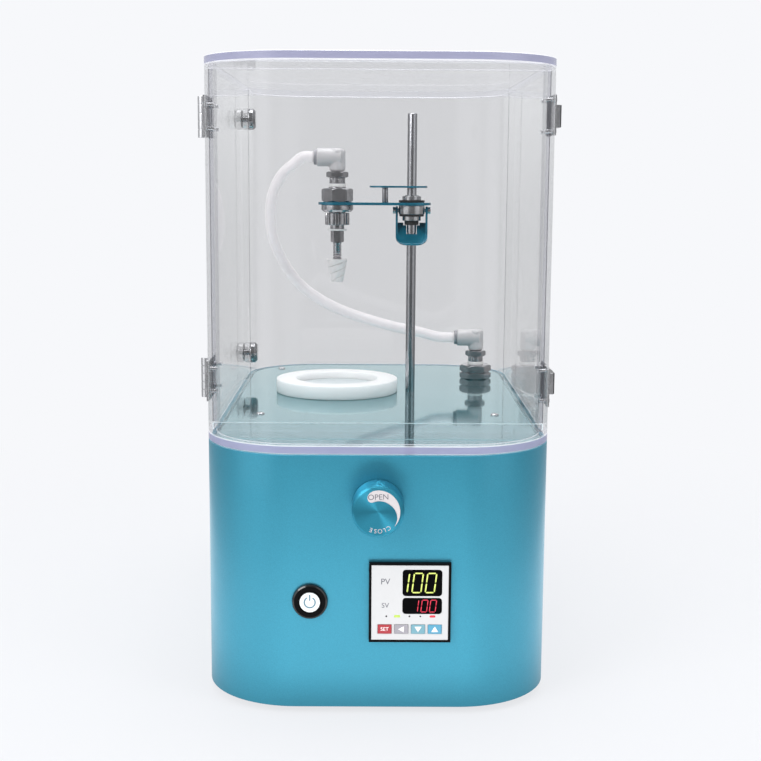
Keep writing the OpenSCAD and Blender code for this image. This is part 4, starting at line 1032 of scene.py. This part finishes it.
class CONCENTRATOR_OT_rod(bpy.types.Operator):
    """Turn the support rod and the metal of the deck port"""

    bl_idname = "concentrator.rod"
    bl_label = "Rod and deck port"

    def execute(self, context):
        turned("support_rod", "bright", (*ROD, 0), band(0, 3.5, 136, 360, 0.7), steps=48)
        bm = bmesh.new()
        for low, high in ((156.0, 161.4), (161.4, 167.2)):
            hex_nut(bm, 21.6, low, high, PORT, 5)
        lathe(bm, band(2.5, 7, 138, 156.1, 0.3), (*PORT, 0), steps=48)
        piece(bm, "port_bulkhead", "nickel")
        turned("port_gasket", "seal", (*PORT, 167.2), band(3.5, 6.3, 0, 2.4, 0.6), steps=48)
        self.adapter("port_adapter", PORT)
        self.adapter("plug_adapter", PLUG)
        coat_node("deck_nuts", "silver")
        return {"FINISHED"}

    def adapter(self, node, place):
        """Metal base of an elbow: knurled below, hexagon above."""
        z = extent(node)[0][2]
        bm = bmesh.new()
        fluted_nut(bm, 5.8, 0.35, 18, z, z + 4.4, place, 5, soft=0.25)
        hex_nut(bm, 14, z + 4.4, z + 8.8, place, 5)
        piece(bm, node, "nickel")


class CONCENTRATOR_OT_elbows(bpy.types.Operator):
    """Mould the two white push-in elbows"""

    bl_idname = "concentrator.elbows"
    bl_label = "Elbows"

    def execute(self, context):
        self.elbow("plug_elbow", PLUG)
        self.elbow("port_elbow", PORT)
        return {"FINISHED"}

    def elbow(self, node, place):
        """An upright leg and a socket to the left, run into each other, and the socket's release ring."""
        z = extent(node)[0][2]
        socket = (*place, z + 10.2)
        bm = bmesh.new()
        lathe(bm, band(0, 5.9, 0, 16.4, 2.8, 6), (*place, z))
        lathe(bm, band(0, 6.6, -3, 15, 0.8), socket, axis="-X")
        body = to_object(bm, f"{node}_legs", ["white"])
        merge = body.modifiers.new("Merge", "REMESH")
        merge.mode, merge.voxel_size, merge.use_smooth_shade = "VOXEL", 0.00032, True
        soften = body.modifiers.new("Soften", "SMOOTH")
        soften.factor, soften.iterations = 0.5, 5
        body = plain_mesh(body, body.name)
        bm = bmesh.new()
        bm.from_mesh(body.data)
        bpy.data.objects.remove(body)
        collet = fillet([(2.6, 14.6), (5.5, 14.6), (5.5, 17.2), (4.1, 17.2), (2.6, 15.6)], 0.35)
        lathe(bm, collet, socket, axis="-X", mat=1)
        piece(bm, node, "white", "collet", angle=40)


class CONCENTRATOR_OT_clamp(bpy.types.Operator):
    """Finish the clamp on the rod and its release lever"""

    bl_idname = "concentrator.clamp"
    bl_label = "Rod clamp"

    def execute(self, context):
        turned("clamp_collar", "silver", (*ROD, 0), fillet([
            (3.55, 282.7), (6.8, 282.7), (6.8, 287.4), (9.5, 287.4), (9.5, 293.9), (5.5, 293.9),
            (5.5, 301.1), (3.55, 301.1),
        ], 0.45), steps=96)
        turned(
            "collar_rings", "rubber", (*ROD, 0), band(5.55, 9.5, 296.1, 297.5, 0.4),
            band(6.85, 9, 285.8, 287.3, 0.4), band(3.55, 5.2, 279.6, 282.6, 0.4),
        )
        finish_node("collar_fasteners", "screw", 0.18)
        self.lever()
        return {"FINISHED"}

    def lever(self):
        """Release lever, its fork closed up to the rod by two lips on the sloping tab."""
        bm = solid_copy("release_lever", 0.3)
        slope = Matrix.Translation(Vector((*ROD, 276.1)) * MM) @ Matrix.Rotation(math.radians(43), 4, "X")
        size = Matrix.Diagonal((2.2 * MM, 9.8 * MM, 1.5 * MM, 1))
        for x in (-4.9, 4.9):
            lip = Matrix.Translation(Vector((x, -1.1, 0)) * MM) @ size
            bmesh.ops.create_cube(bm, size=1, matrix=slope @ lip)
        stands_for(even_normals(to_object(bm, "ReleaseLever", ["teal"])), "release_lever")


class CONCENTRATOR_OT_arm(bpy.types.Operator):
    """Finish the arm, the union and the spiral plug"""

    bl_idname = "concentrator.arm"
    bl_label = "Arm and plug"

    def execute(self, context):
        axis = (*PLUG, 0)
        finish_node("arm_plates", "teal", 0.3)
        post = (ROD[0] - 19.5, ROD[1], 0)
        turned("finger_post", "bright", post, band(0, 2.2, 296, 306.6, 0.2), steps=40)
        turned("union_body", "nickel", axis, fillet([
            (2.5, 282.3), (6, 282.3), (6, 288.8), (10.1, 288.8), (11.7, 290.4), (11.7, 294), (6.5, 294),
            (6.5, 306.8), (2.5, 306.8),
        ], 0.35), steps=96)
        bm = bmesh.new()
        hex_nut(bm, 20.5, 296, 306, PLUG, 13.1, turn=12)
        fluted_nut(bm, 9, 0.8, 14, 279.3, 288.1, PLUG, 10.3)
        piece(bm, "union_nuts", "nickel")
        self.stem(axis)
        seals = band(3.5, 6.2, 306.8, 309.2, 0.6), band(4.05, 6.9, 275.2, 276.3, 0.35)
        turned("arm_seals", "seal", axis, *seals)
        piece(solid_copy("spiral_plug"), "spiral_plug", "plug", angle=42)
        return {"FINISHED"}

    def stem(self, axis):
        """Collar, neck and hexagon, then a ribbed stretch and the end that goes into the plug."""
        low, high, count = 253.6, 266.6, 6
        pitch = (high - low) / count
        ribs = []
        for i in range(count):
            z = low + i * pitch
            ribs += [(2.6, z), (3.2, z + 0.6 * pitch), (3.3, z + 0.75 * pitch), (3.15, z + 0.84 * pitch)]
        bm = bmesh.new()
        lathe(bm, band(1.2, 5.1, 276.3, 282.1, 0.3), axis)
        lathe(bm, band(1.2, 4, 275, 276.5), axis)
        hex_nut(bm, 8.4, high, 275.2, PLUG, 2.3)
        lathe(bm, [(1.15, low), *ribs, (2.6, high + 0.1), (1.15, high + 0.1)], axis)
        lathe(bm, band(1.15, 2.3, 245.6, low + 0.1), axis)
        piece(bm, "plug_stem", "nickel")


class CONCENTRATOR_OT_cover(bpy.types.Operator):
    """Polish the clear sheets of the fixed cover and the door"""

    bl_idname = "concentrator.cover"
    bl_label = "Clear cover and door"

    # Seam between door and cover, joint of side and rear panels, and planes inside the walls and the plate
    SEAM_Y, JOINT_Y, WALL_X, PLATE_Z = -0.114, 0.096, 0.1015, 0.159
    BODY, EDGE, BEVEL, LINE = range(4)

    def execute(self, context):
        width = context.scene.concentrator_cover.bevel / MM
        for node in ("cover_top", "door_top"):
            self.sheet(node, width, ["plate", "edge", "bevel"])
        self.sheet("door_bottom", width, ["deck_sheet", "edge", "bevel", "painted_glint"])
        for node in ("cover_sides", "cover_rear", "door_wall"):
            self.sheet(node, width * 0.7, ["clear", "wall_end", "bevel", "seam"])
        return {"FINISHED"}

    def sheet(self, node, width, materials):
        """Clear faces, edges and bevels of one sheet; at the seam a plate's top bevel takes a painted
        highlight line and a wall's bevels read dark.
        """
        bm = solid_copy(node, width, 1, bevel_mat=self.BEVEL)
        plate = materials[self.EDGE] == "edge"
        for face in bm.faces:
            spot = face.calc_center_median()
            upright = abs(face.normal.z) < 0.5
            at_seam = abs(spot.y - self.SEAM_Y) < MM
            at_joint = node != "door_wall" and abs(spot.y - self.JOINT_Y) < MM
            outside = abs(spot.x) > self.WALL_X
            if face.material_index == self.BEVEL:
                # The top bevel of the door's bottom plate along the seam takes the painted highlight line;
                # the bevel under it stays clear.
                if node == "door_bottom" and at_seam:
                    face.material_index = self.LINE if spot.z > self.PLATE_Z else self.BODY
                elif not plate and upright and (at_seam or at_joint):
                    face.material_index = self.LINE if outside == at_seam else self.BODY
            elif upright and plate != at_seam and (plate or abs(face.normal.y) > 0.98):
                face.material_index = self.EDGE
        stands_for(to_object(bm, f"Clear_{node}", materials, 30), node)


class CONCENTRATOR_OT_hardware(bpy.types.Operator):
    """Finish the hinges, the catches and the panel clamps"""

    bl_idname = "concentrator.hardware"
    bl_label = "Hinges, catches and clamps"

    def execute(self, context):
        for node in ("cover_hinges", "door_hinges", "door_strikes"):
            finish_node(node, "hinge", 0.25)
        finish_node("cover_catches", "catch", 0.5, 3)
        outside, inside, joint = -104, -99, 96
        disc = fillet([(0, 0), (8, 0), (8, 3.7), (6.1, 5.6), (0, 5.6)], 0.9, 4)
        bm = bmesh.new()
        for z in (178, 357):
            lathe(bm, disc, (outside, joint, z), axis="-X")
            lathe(bm, disc, (inside, joint, z), axis="+X")
            lathe(bm, band(0, 2, -0.5, 5.5), (outside, joint, z), axis="+X", steps=32)
        piece(bm, "panel_clamps", "chrome")
        return {"FINISHED"}


class CONCENTRATOR_OT_screws(bpy.types.Operator):
    """Set a cross-head screw on each place that a CAD screw has"""

    bl_idname = "concentrator.screws"
    bl_label = "Screws"

    SEAM_Y, LEAF_X = -114, 105.5

    def execute(self, context):
        tree = screw_tree()
        posts = [(x, y) for x in (-79, 79) for y in (-54, 160)]
        self.field(tree, "deck_screws", 5.6, [((x, y, DECK_Z), (0, 0, 1)) for x, y in posts])
        for node, way in (("cover_screws", 1), ("door_screws", -1)):
            hinges = self.rows(-1, way * 11.16, (190, 350), 7)
            catches = self.rows(1, way * 8.5, (187, 352), 9.375)
            self.field(tree, node, 4.6, hinges + catches)
        return {"FINISHED"}

    def rows(self, side, off_seam, heights, reach):
        """Places of the screws on one side, two to a leaf, with the way that they face."""
        return [
            ((side * self.LEAF_X, self.SEAM_Y + off_seam, z + dz), (side, 0, 0))
            for z in heights for dz in (-reach, reach)
        ]

    def field(self, tree, node, head, spots):
        """One mesh of screws for a node, by a node tree on the screws' places."""
        screw = self.screw(head)
        mesh = bpy.data.meshes.new(node)
        mesh.from_pydata([Vector(place) * MM for place, _ in spots], [], [])
        facing = mesh.attributes.new("facing", "FLOAT_VECTOR", "POINT")
        for item, (_, way) in zip(facing.data, spots):
            item.vector = way
        made = with_nodes(link_new(node + "_points", mesh), tree, {
            "Screw": screw, "Size": 1.0, "Material": material("screw"),
        }, f"Finished_{node}")
        bpy.data.objects.remove(screw)
        made.data.shade_smooth()
        made.data.set_sharp_from_angle(angle=math.radians(35))
        stands_for(made, node)

    def screw(self, head):
        """Domed head with a cross recess, its underside at the origin, and a short shank."""
        r, dome, shank = head / 2, 1.2, -6
        bm = bmesh.new()
        lathe(bm, [
            (0, shank), (r * 0.52, shank), (r * 0.52, 0), (r, 0), (r, 0.35), (r * 0.93, 0.72),
            (r * 0.74, 1.02), (r * 0.45, dome), (0, dome),
        ], (0, 0, 0), steps=48)
        body = to_object(bm, "ScrewHead", ["screw"])
        bm = bmesh.new()
        top = Matrix.Translation((0, 0, dome * MM))
        for w, l in ((r * 0.24, r * 1.15), (r * 1.15, r * 0.24)):
            bmesh.ops.create_cube(bm, size=1, matrix=top @ Matrix.Diagonal((w * MM, l * MM, 1.3 * MM, 1)))
        cross = to_object(bm, "CrossRecess", ["screw"])
        cut = body.modifiers.new("Recess", "BOOLEAN")
        cut.operation, cut.solver, cut.object, cut.use_self = "DIFFERENCE", "EXACT", cross, True
        made = plain_mesh(body, "Screw")
        bpy.data.objects.remove(cross)
        return made


class CONCENTRATOR_OT_knob(bpy.types.Operator):
    """Turn the valve knob and print its scale"""

    bl_idname = "concentrator.knob"
    bl_label = "Valve knob"

    # Radius of the knob, of its dished face and the dish's depth, and the levels of its back and its rim
    RADIUS, DISH_RADIUS, DISH_DEPTH, BACK_Y, RIM_Y = 15, 13, 1, -190, -207
    # Crescent that grows towards OPEN: angle in degrees, inner and outer radius
    CRESCENT = [
        (131, 7.6, 8.6), (128, 6.8, 9.8), (123, 6.3, 10.9), (114, 6.1, 11.9), (104, 6.1, 12.4),
        (89, 6.2, 12.6), (68, 6.5, 12.6), (45, 7.2, 12.6), (26, 8.2, 12.6), (8, 9.6, 12.6),
        (-8, 10.8, 12.6), (-20, 11.6, 12.6), (-32, 12.2, 12.6), (-43, 12.55, 12.6),
    ]
    FINE = 6
    # From one letter of a curved word to the next, as a share of their size
    LETTER_STEP = 0.741

    def execute(self, context):
        bm = bmesh.new()
        lathe(bm, fillet([
            (0, 11), (3.05, 11), (3.05, 0), (15, 0), (15, 15.8), (13.8, 17), (13, 17), (0, 16),
        ], 0.45), (0, self.BACK_Y, KNOB_Z), axis="-Y", steps=160)
        self.unwrap(bm)
        piece(bm, "valve_knob", "knob", angle=25)
        self.crescent()
        opened = word("OPEN", 4.6, 0.1, KNOB_Z + 8.5, 0, "KnobOpen", "grey_print", turn=math.radians(2))
        self.lay(opened, PRINT)
        self.curved_word("CLOSE", 3.5, 11.1, math.radians(-84), "knob_print")
        coat_node("valve_spindle", "bright")
        return {"FINISHED"}

    def unwrap(self, bm):
        """Map along the turning marks: round the axis one way, outwards and along the axis the other way."""
        layer, along = bm.loops.layers.uv.new("Turned"), 20
        for face in bm.faces:
            spot = face.calc_center_median()
            centre = math.atan2(spot.z - KNOB_Z * MM, spot.x)
            for loop in face.loops:
                x, z = loop.vert.co.x, loop.vert.co.z - KNOB_Z * MM
                turn = math.atan2(z, x) if math.hypot(x, z) > ON_AXIS else centre
                turn = centre + (turn - centre + math.pi) % math.tau - math.pi
                outwards = math.hypot(x, z) / (self.RADIUS * MM)
                loop[layer].uv = (turn / math.tau, outwards + loop.vert.co.y * along)

    def dish(self, x, z):
        """Level of the dished face at a place, a hair in front of the metal."""
        share = math.hypot(x, z - KNOB_Z) / self.DISH_RADIUS
        return self.RIM_Y + self.DISH_DEPTH * (1 - share) - PRINT_LIFT

    def crescent(self):
        """Print of the crescent, in faces small enough to follow the dish."""
        bm = bmesh.new()
        rows = []
        for (a0, i0, o0), (a1, i1, o1) in zip(self.CRESCENT, self.CRESCENT[1:]):
            for k in range(self.FINE):
                t = k / self.FINE
                a = math.radians(a0 + (a1 - a0) * t)
                row = []
                for s in range(self.FINE + 1):
                    share = s / self.FINE
                    r = (i0 + (i1 - i0) * t) * (1 - share) + (o0 + (o1 - o0) * t) * share
                    x, z = r * math.cos(a), KNOB_Z + r * math.sin(a)
                    row.append(bm.verts.new(Vector((x, self.dish(x, z), z)) * MM))
                rows.append(row)
        for a, b in zip(rows, rows[1:]):
            for s in range(self.FINE):
                bm.faces.new((a[s], b[s], b[s + 1], a[s + 1]))
        bmesh.ops.reverse_faces(bm, faces=[f for f in bm.faces if f.normal.y > 0])
        trim(to_object(bm, "KnobCrescent", ["knob_print"], 60, outward=False), "valve_knob")

    def lay(self, flat, lift):
        """Bend a flat word onto the dish."""
        for v in flat.data.vertices:
            v.co.y = (self.dish(v.co.x / MM, v.co.z / MM) - lift) * MM
        trim(flat, "valve_knob")

    def curved_word(self, text, size, radius, centre, mat):
        """Letters set round the knob's axis, with their feet to its rim."""
        bm = bmesh.new()
        step = size * self.LETTER_STEP / radius
        for i, letter in enumerate(text):
            a = centre - (i - (len(text) - 1) / 2) * step
            x, z = radius * math.cos(a), KNOB_Z + radius * math.sin(a)
            made = word(letter, size, x, z, 0, f"Letter{i}", mat, turn=a - math.pi / 2)
            bm.from_mesh(made.data)
            bpy.data.objects.remove(made)
        self.lay(to_object(bm, f"Knob{text.title()}", [mat], 60, outward=False), 0.0)


class CONCENTRATOR_OT_button(bpy.types.Operator):
    """Finish the power button with its lit cap and sign"""

    bl_idname = "concentrator.button"
    bl_label = "Power button"

    def execute(self, context):
        place = (BUTTON_X, FRONT_Y, PANEL_Z)
        bm = bmesh.new()
        bezel = [
            (6.5, 0), (10.5, 0), (10.5, 1.2), (10.1, 2.0), (9.3, 2.5), (8.4, 2.6), (7.0, 2.6), (6.5, 2.2),
        ]
        lathe(bm, fillet(bezel, 0.25), place, axis="-Y", steps=96)
        self.gloss_beyond(bm, 9.2)
        lathe(bm, band(6.5, 8.1, -26, 0.1), place, axis="-Y", steps=48)
        lathe(bm, band(0, 6.6, -26, -5.5), place, axis="-Y", steps=48)
        piece(bm, "button_housing", "black", "black_gloss")
        bm = bmesh.new()
        lathe(bm, band(0, 6.4, -2.1, 2.9, 0.5, 4), place, axis="-Y", steps=96)
        self.gloss_beyond(bm, 5.95)
        piece(bm, "button_cap", "lit_cap", "black_gloss")
        self.sign()
        return {"FINISHED"}

    def gloss_beyond(self, bm, radius):
        """Give the faces past a radius the second material."""
        for face in bm.faces:
            spot = face.calc_center_median() / MM
            if math.hypot(spot.x - BUTTON_X, spot.z - PANEL_Z) > radius:
                face.material_index = 1

    def sign(self):
        """Power sign: a ring that is open at the top, and a bar."""
        y, steps, inner, outer = extent("button_cap")[0][1] - PRINT_LIFT, 48, 2.75, 3.55
        bm = bmesh.new()
        for k in range(steps):
            a0, a1 = (math.radians(120 + 300 * j / steps) for j in (k, k + 1))
            flat_shape(bm, [
                (BUTTON_X + r * math.cos(a), PANEL_Z + r * math.sin(a))
                for r, a in ((inner, a0), (outer, a0), (outer, a1), (inner, a1))
            ], y)
        bmesh.ops.remove_doubles(bm, verts=bm.verts[:], dist=1e-6)
        flat_shape(bm, rounded_box(BUTTON_X, PANEL_Z + 2.8, 0.8, 3.6, 0.3), y)
        trim(to_object(bm, "PowerSign", ["symbol"], outward=False), "button_cap")


class CONCENTRATOR_OT_controller(bpy.types.Operator):
    """Finish the temperature controller, its displays, lamps and keys"""

    bl_idname = "concentrator.controller"
    bl_label = "Controller"

    SEGMENTS = {"0": "abcdef", "1": "bc"}
    ARROWS = {
        "left": [(-1.9, 0), (1.5, 1.9), (1.5, -1.9)], "down": [(0, -1.8), (2.1, 1.6), (-2.1, 1.6)],
        "up": [(0, 1.8), (-2.1, -1.6), (2.1, -1.6)],
    }

    def execute(self, context):
        finish_node("controller_case", "black", 0.35)
        finish_node("controller_face", "face", 0.12)
        finish_node("display_windows", "display", 0.12)
        self.digits("UpperDigits", "upper", (26.2, 81.0), 11.6, 5.2, 0.8, (-10.8, -2.8, 5.0))
        self.digits("LowerDigits", "lower", (26.2, 67.08), 7.2, 3.4, 0.5, (-4.1, 1.3, 6.3))
        for text, z, size in (("PV", 81.6, 5.0), ("SV", 67.2, 4.2)):
            trim(word(text, size, 4.6, z, PRINT_Y, f"Label{text}", "grey_print"), "controller_face")
        self.lamps()
        self.key("set_key", "key_red", None)
        self.key("shift_key", "key_grey", "left")
        self.key("down_key", "key_teal", "down")
        self.key("up_key", "key_blue", "up")
        return {"FINISHED"}

    def digits(self, name, mat, centre, height, width, bar, places):
        """Slanted seven-segment digits 1, 0, 0 in front of their window."""
        bm = bmesh.new()
        half = height / 2
        for digit, dx in zip("100", places):
            left, right = dx - width / 2, dx + width / 2
            spans = {
                "a": ((left, half), (right, half)), "b": ((right, half), (right, 0)),
                "c": ((right, 0), (right, -half)), "d": ((left, -half), (right, -half)),
                "e": ((left, 0), (left, -half)), "f": ((left, half), (left, 0)),
            }
            for segment in self.SEGMENTS[digit]:
                self.bar(bm, *[Vector(p) for p in spans[segment]], bar, centre)
        trim(to_object(bm, name, [mat], outward=False), "display_windows")

    def bar(self, bm, a, b, width, centre):
        """One segment with pointed ends, a gap short of its neighbours."""
        along = (b - a).normalized()
        side, tip, gap = Vector((-along.y, along.x)) * width / 2, along * width / 2, along * width * 0.3
        slant = math.tan(math.radians(7))
        a, b = a + gap, b - gap
        outline = [a, a + tip + side, b - tip + side, b, b - tip - side, a + tip - side]
        flat_shape(bm, [(centre[0] + p.x + p.y * slant, centre[1] + p.y) for p in outline], PRINT_Y)

    def lamps(self):
        """Three dark lamps as dots, and two lit ones as short bars."""
        dots = [(dx, 1.0, 1.0, 0.48) for dx in (-13.7, -0.2, 6.2)]
        for name, mat, shapes in (
            ("LampDots", "black", dots), ("LampGreen", "lamp_green", [(-7.4, 3.6, 1.5, 0.5)]),
            ("LampRed", "lamp_red", [(13.3, 3.4, 1.3, 0.5)]),
        ):
            bm = bmesh.new()
            for dx, w, h, r in shapes:
                flat_shape(bm, rounded_box(CONTROLLER_X + dx, PANEL_Z - 8.2, w, h, r), PRINT_Y)
            trim(to_object(bm, name, [mat], outward=False), "controller_face")

    def key(self, node, mat, arrow):
        """A key with its arrow, or with the word SET."""
        finish_node(node, mat, 0.15, 3)
        cx, _, cz = middle(node)
        y = extent(node)[0][1] - PRINT_LIFT
        if arrow is None:
            made = word("SET", 3.1, cx, cz, y, "KeyWord", "key_print")
        else:
            bm = bmesh.new()
            flat_shape(bm, [(cx + x, cz + z) for x, z in self.ARROWS[arrow]], y)
            made = to_object(bm, f"KeyArrow_{arrow}", ["key_print"], outward=False)
        trim(made, node)


class CONCENTRATOR_OT_rear(bpy.types.Operator):
    """Finish the vacuum outlet and the mains inlet on the back"""

    bl_idname = "concentrator.rear"
    bl_label = "Rear panel"

    PIN_WIDTH = 0.004

    def execute(self, context):
        finish_node("vacuum_outlet", "white", 0.4, 3)
        bm = solid_copy("power_inlet", 0.35)
        left = set(bm.faces)
        while left:
            island = self.island(next(iter(left)))
            left -= island
            xs = [v.co.x for face in island for v in face.verts]
            for face in island:
                face.material_index = 1 if max(xs) - min(xs) < self.PIN_WIDTH else 0
        piece(bm, "power_inlet", "black", "brass")
        return {"FINISHED"}

    def island(self, face):
        """The faces that hang together with one."""
        found, todo = {face}, [face]
        while todo:
            beside = {other for edge in todo.pop().edges for other in edge.link_faces} - found
            found |= beside
            todo += beside
        return found


class CONCENTRATOR_OT_inside(bpy.types.Operator):
    """Coat what lies inside the body"""

    bl_idname = "concentrator.inside"
    bl_label = "Inside"

    def execute(self, context):
        coat_node("valve_body", "silver")
        coat_node("internal_tubes", "white")
        coat_node("heater_relay", "black")
        return {"FINISHED"}


OPERATORS = (
    CONCENTRATOR_OT_stage, CONCENTRATOR_OT_hose, CONCENTRATOR_OT_body, CONCENTRATOR_OT_heater,
    CONCENTRATOR_OT_rod, CONCENTRATOR_OT_elbows, CONCENTRATOR_OT_clamp, CONCENTRATOR_OT_arm,
    CONCENTRATOR_OT_cover, CONCENTRATOR_OT_hardware, CONCENTRATOR_OT_screws, CONCENTRATOR_OT_knob,
    CONCENTRATOR_OT_button, CONCENTRATOR_OT_controller, CONCENTRATOR_OT_rear, CONCENTRATOR_OT_inside,
)
GROUPS = {
    "concentrator_stage": StageSettings, "concentrator_paint": PaintSettings,
    "concentrator_cover": CoverSettings, "concentrator_hose": HoseSettings,
    "concentrator_panel": PanelSettings,
}


class CONCENTRATOR_PT_panel(bpy.types.Panel):
    """Settings and steps of the concentrator"""

    bl_idname = "CONCENTRATOR_PT_panel"
    bl_label = "Concentrator"
    bl_space_type = "VIEW_3D"
    bl_region_type = "UI"
    bl_category = "Concentrator"

    def draw(self, context):
        for name, group in GROUPS.items():
            box = self.layout.box()
            for prop in group.__annotations__:
                box.prop(getattr(context.scene, name), prop)
        column = self.layout.column(align=True)
        for operator in OPERATORS:
            column.operator(operator.bl_idname)


CLASSES = (*GROUPS.values(), *OPERATORS, CONCENTRATOR_PT_panel)


def register():
    for cls in CLASSES:
        bpy.utils.register_class(cls)
    for name, group in GROUPS.items():
        setattr(bpy.types.Scene, name, PointerProperty(type=group))


def unregister():
    for name in GROUPS:
        delattr(bpy.types.Scene, name)
    for cls in reversed(CLASSES):
        bpy.utils.unregister_class(cls)


def main():
    register()
    for operator in OPERATORS:
        group, name = operator.bl_idname.split(".")
        getattr(getattr(bpy.ops, group), name)()


if __name__ == "__main__":
    main()
